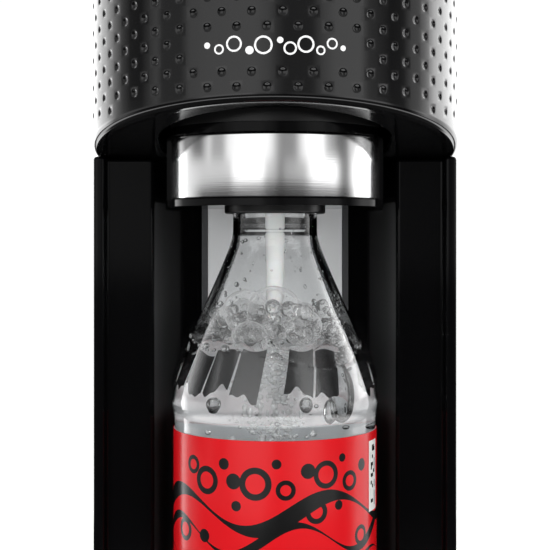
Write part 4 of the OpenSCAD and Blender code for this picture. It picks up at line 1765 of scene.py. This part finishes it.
def dress_cad_nodes() -> None:
    """Gives every CAD node that still shows the material of its slot."""
    for name, obj in frame["nodes"].items():
        if obj.hide_render:
            continue
        obj.data.materials.clear()
        obj.data.materials.append(material_of(SLOT_FINISH[NODE_SLOT[name]]))
        LOG.info("%s keeps its CAD shape in %s", name, NODE_SLOT[name])


# ---- Stage ----


@dataclass
class Studio:
    """White room with upright light cards, soft front light and the camera."""

    camera_at: Point3 = (0.0, -0.5045, 0.265)
    lens: float = 87.4
    shift_y: float = -0.0727
    floor_r: float = 0.8
    floor_glow: float = 0.1
    floor_mirrored: float = 0.09
    floor_strip: float = 2.6
    zenith: float = 0.5
    under: float = 0.08
    high_cards: tuple[tuple[float, float], ...] = (
        (-180, 2.2), (-150, 3.4), (-126, 2.8), (-116, 1.5), (-106, 0.5), (-98, 0.16),
        (-88, 0.14), (-82, 0.5), (-76, 0.9), (-71, 0.42), (-58, 0.42), (-52, 1.1), (-40, 1.25),
        (-12, 1.35), (-4, 1.1), (2, 0.5), (6, 0.28), (22, 0.3), (28, 0.95), (36, 1.45),
        (52, 1.5), (58, 0.55), (66, 0.35), (74, 0.14), (84, 0.2), (90, 0.8), (97, 0.9),
        (105, 2.0), (114, 4.6), (134, 4.6), (155, 3.0), (180, 2.2),
    )
    low_cards: tuple[tuple[float, float], ...] = (
        (-180, 2.2), (-145, 4.6), (-124, 4.6), (-112, 1.0), (-84, 0.75), (-50, 0.75),
        (-42, 1.7), (-15, 1.8), (-9, 0.8), (0, 0.6), (6, 0.22), (12, 0.5), (32, 0.62),
        (42, 1.7), (68, 1.8), (76, 0.4), (84, 0.2), (92, 1.1), (102, 2.6), (116, 1.6),
        (140, 3.0), (180, 2.2),
    )

    def build(self) -> None:
        """Sets the floor, the surroundings, the lights and the camera."""
        self.floor()
        self.surroundings()
        self.soft_light("front_left", (-0.55, -1.25, 0.75), 0.9, 7.5)
        self.soft_light("front_right", (0.6, -1.2, 0.6), 0.8, 6.0)
        self.soft_light("overhead", (0.0, 0.1, 1.5), 1.2, 13.0)
        self.soft_light("behind", (0.4, 1.5, 0.9), 1.2, 10.0)
        data = bpy.data.cameras.new("view")
        data.lens = self.lens
        data.sensor_width = 36.0
        data.shift_y = self.shift_y
        data.clip_start = 0.01
        camera = bpy.data.objects.new("view", data)
        camera.location = self.camera_at
        camera.rotation_euler = (math.pi / 2, 0, 0)
        bpy.context.scene.collection.objects.link(camera)
        bpy.context.scene.camera = camera
        bpy.context.scene.view_settings.view_transform = "Standard"

    def floor(self) -> None:
        """A pale floor, large enough to have no edge in view."""
        draft = MeshDraft()
        rings = [[draft.point((r * math.cos(a), r * math.sin(a), 0.0))
                  for a in [2 * math.pi * k / 96 for k in range(96)]]
                 for r in (0.3, self.floor_r)]
        draft.face(rings[0])
        draft.strip(rings[0] + rings[0][:1], rings[1] + rings[1][:1])
        obj = draft.build("floor")
        s = Shader("pale_floor")
        s.marks((0.9, 0.9, 0.9), (0.88, 0.88, 0.88), 0.3, 3.0, 0.7, 0.1)
        s.set(Emission_Color=(1, 1, 1, 1), Emission_Strength=self.floor_glow,
              Specular_IOR_Level=0.1)
        path = add_node(s.tree, "ShaderNodeLightPath")
        dim = add_node(s.tree, "ShaderNodeEmission")
        where = add_node(s.tree, "ShaderNodeTexCoord")
        far = add_node(s.tree, "ShaderNodeVectorMath", operation="LENGTH")
        s.tree.links.new(where.outputs["Object"], far.inputs[0])
        start = self.step(s.tree, far.outputs["Value"], 0.38, 0.46)
        end = self.step(s.tree, far.outputs["Value"], 0.56, 0.64)
        strip = maths(s.tree, "MULTIPLY", start, maths(s.tree, "SUBTRACT", 1.0, end))
        glow = maths(s.tree, "ADD", maths(s.tree, "MULTIPLY", strip, self.floor_strip),
                     self.floor_mirrored)
        s.tree.links.new(glow, dim.inputs["Strength"])
        mix = add_node(s.tree, "ShaderNodeMixShader")
        s.tree.links.new(path.outputs["Is Glossy Ray"], mix.inputs[0])
        s.tree.links.new(s.bsdf.outputs[0], mix.inputs[1])
        s.tree.links.new(dim.outputs[0], mix.inputs[2])
        s.tree.links.new(mix.outputs[0], s.out.inputs["Surface"])
        obj.data.materials.append(s.material)

    def surroundings(self) -> None:
        """White where the camera looks, upright cards of light in reflections."""
        world = bpy.data.worlds.new("studio")
        world.use_nodes = True
        tree = world.node_tree
        back = tree.nodes["Background"]
        out = tree.nodes["World Output"]
        place_node = add_node(tree, "ShaderNodeTexCoord")
        split = add_node(tree, "ShaderNodeSeparateXYZ")
        tree.links.new(place_node.outputs["Generated"], split.inputs[0])
        depth = maths(tree, "MULTIPLY", split.outputs["Y"], -1.0)
        turn = maths(tree, "ARCTAN2", split.outputs["X"], depth)
        share = maths(tree, "ADD", maths(tree, "DIVIDE", turn, 2 * math.pi), 0.5)
        upper = self.ramp(tree, share, self.high_cards)
        lower = self.ramp(tree, share, self.low_cards)
        low_on = maths(tree, "SUBTRACT", 1.0, self.step(tree, split.outputs["Z"], 0.055, 0.1))
        cards = maths(tree, "ADD", maths(tree, "MULTIPLY", lower, low_on), maths(
            tree, "MULTIPLY", upper, maths(tree, "SUBTRACT", 1.0, low_on)))
        above = self.step(tree, split.outputs["Z"], -0.05, -0.01)
        beside = self.step(tree, maths(tree, "ABSOLUTE", turn), 1.4, 1.9)
        kept = maths(tree, "MAXIMUM", maths(tree, "MAXIMUM", above, beside), self.under)
        level = maths(tree, "MULTIPLY", cards, kept)
        high = self.step(tree, split.outputs["Z"], 0.35, 0.75)
        low_part = maths(tree, "MULTIPLY", level, maths(tree, "SUBTRACT", 1.0, high))
        high_part = maths(tree, "MULTIPLY", high, self.zenith / 5.0)
        tree.links.new(maths(tree, "ADD", low_part, high_part), back.inputs["Color"])
        back.inputs["Strength"].default_value = 5.0
        plain = add_node(tree, "ShaderNodeBackground")
        plain.inputs["Color"].default_value = (1, 1, 1, 1)
        plain.inputs["Strength"].default_value = 1.05
        soft = add_node(tree, "ShaderNodeBackground")
        soft.inputs["Color"].default_value = (1, 1, 1, 1)
        soft.inputs["Strength"].default_value = 0.45
        path = add_node(tree, "ShaderNodeLightPath")
        first = add_node(tree, "ShaderNodeMixShader")
        second = add_node(tree, "ShaderNodeMixShader")
        tree.links.new(path.outputs["Is Diffuse Ray"], first.inputs[0])
        tree.links.new(back.outputs[0], first.inputs[1])
        tree.links.new(soft.outputs[0], first.inputs[2])
        tree.links.new(path.outputs["Is Camera Ray"], second.inputs[0])
        tree.links.new(first.outputs[0], second.inputs[1])
        tree.links.new(plain.outputs[0], second.inputs[2])
        tree.links.new(second.outputs[0], out.inputs["Surface"])
        bpy.context.scene.world = world

    @staticmethod
    def ramp(tree: bpy.types.NodeTree, share: bpy.types.NodeSocket,
             cards: Sequence[tuple[float, float]]) -> bpy.types.NodeSocket:
        """Brightness round the room, a fifth of the level of each card.

        Args:
            tree: the world's tree.
            share: the turn from behind, 0 to 1.
            cards: (degrees from the front, level) in rising order.

        Returns:
            The brightness.
        """
        node = add_node(tree, "ShaderNodeValToRGB")
        tree.links.new(share, node.inputs[0])
        stops = node.color_ramp.elements
        for i, (angle, level) in enumerate(cards):
            at = angle / 360 + 0.5
            stop = stops.new(at) if 0 < i < len(cards) - 1 else stops[-1 if i else 0]
            stop.position = at
            stop.color = (level / 5, level / 5, level / 5, 1)
        return node.outputs[0]

    @staticmethod
    def step(tree: bpy.types.NodeTree, value: bpy.types.NodeSocket, low: float, high: float
             ) -> bpy.types.NodeSocket:
        """A soft step from 0 at low to 1 at high.

        Args:
            tree: the node tree.
            value: the number that is compared.
            low: where the step starts.
            high: where it ends.

        Returns:
            The stepped value.
        """
        node = add_node(tree, "ShaderNodeMapRange", interpolation_type="SMOOTHSTEP")
        tree.links.new(value, node.inputs["Value"])
        node.inputs["From Min"].default_value = low
        node.inputs["From Max"].default_value = high
        return node.outputs["Result"]

    def soft_light(self, name: str, at: Point3, size: float, power: float) -> None:
        """A large soft light aimed at the machine, unseen in reflections and through the bottle.

        Args:
            name: name of the light.
            at: where it stands.
            size: length of its side in metres.
            power: its power in watts.
        """
        data = bpy.data.lights.new(name, "AREA")
        data.size = size
        data.energy = power
        lamp = bpy.data.objects.new(name, data)
        lamp.location = at
        aim = Vector((0, 0, 0.22)) - Vector(at)
        lamp.rotation_euler = aim.to_track_quat("-Z", "Y").to_euler()
        lamp.visible_glossy = False
        lamp.visible_transmission = False
        lamp.visible_camera = False
        bpy.context.scene.collection.objects.link(lamp)


def main() -> None:
    """Builds every sub-assembly in order, then the studio."""
    logging.basicConfig(level=logging.INFO, format="%(name)s: %(message)s")
    for part in (Studio(), HeadShell(), HeadTop(), Column(), Base(), Holder(), Bottle(),
                 GasTrain(), RearCover()):
        part.build()
    dress_cad_nodes()
    bpy.context.view_layer.update()


if __name__ == "__main__":
    main()
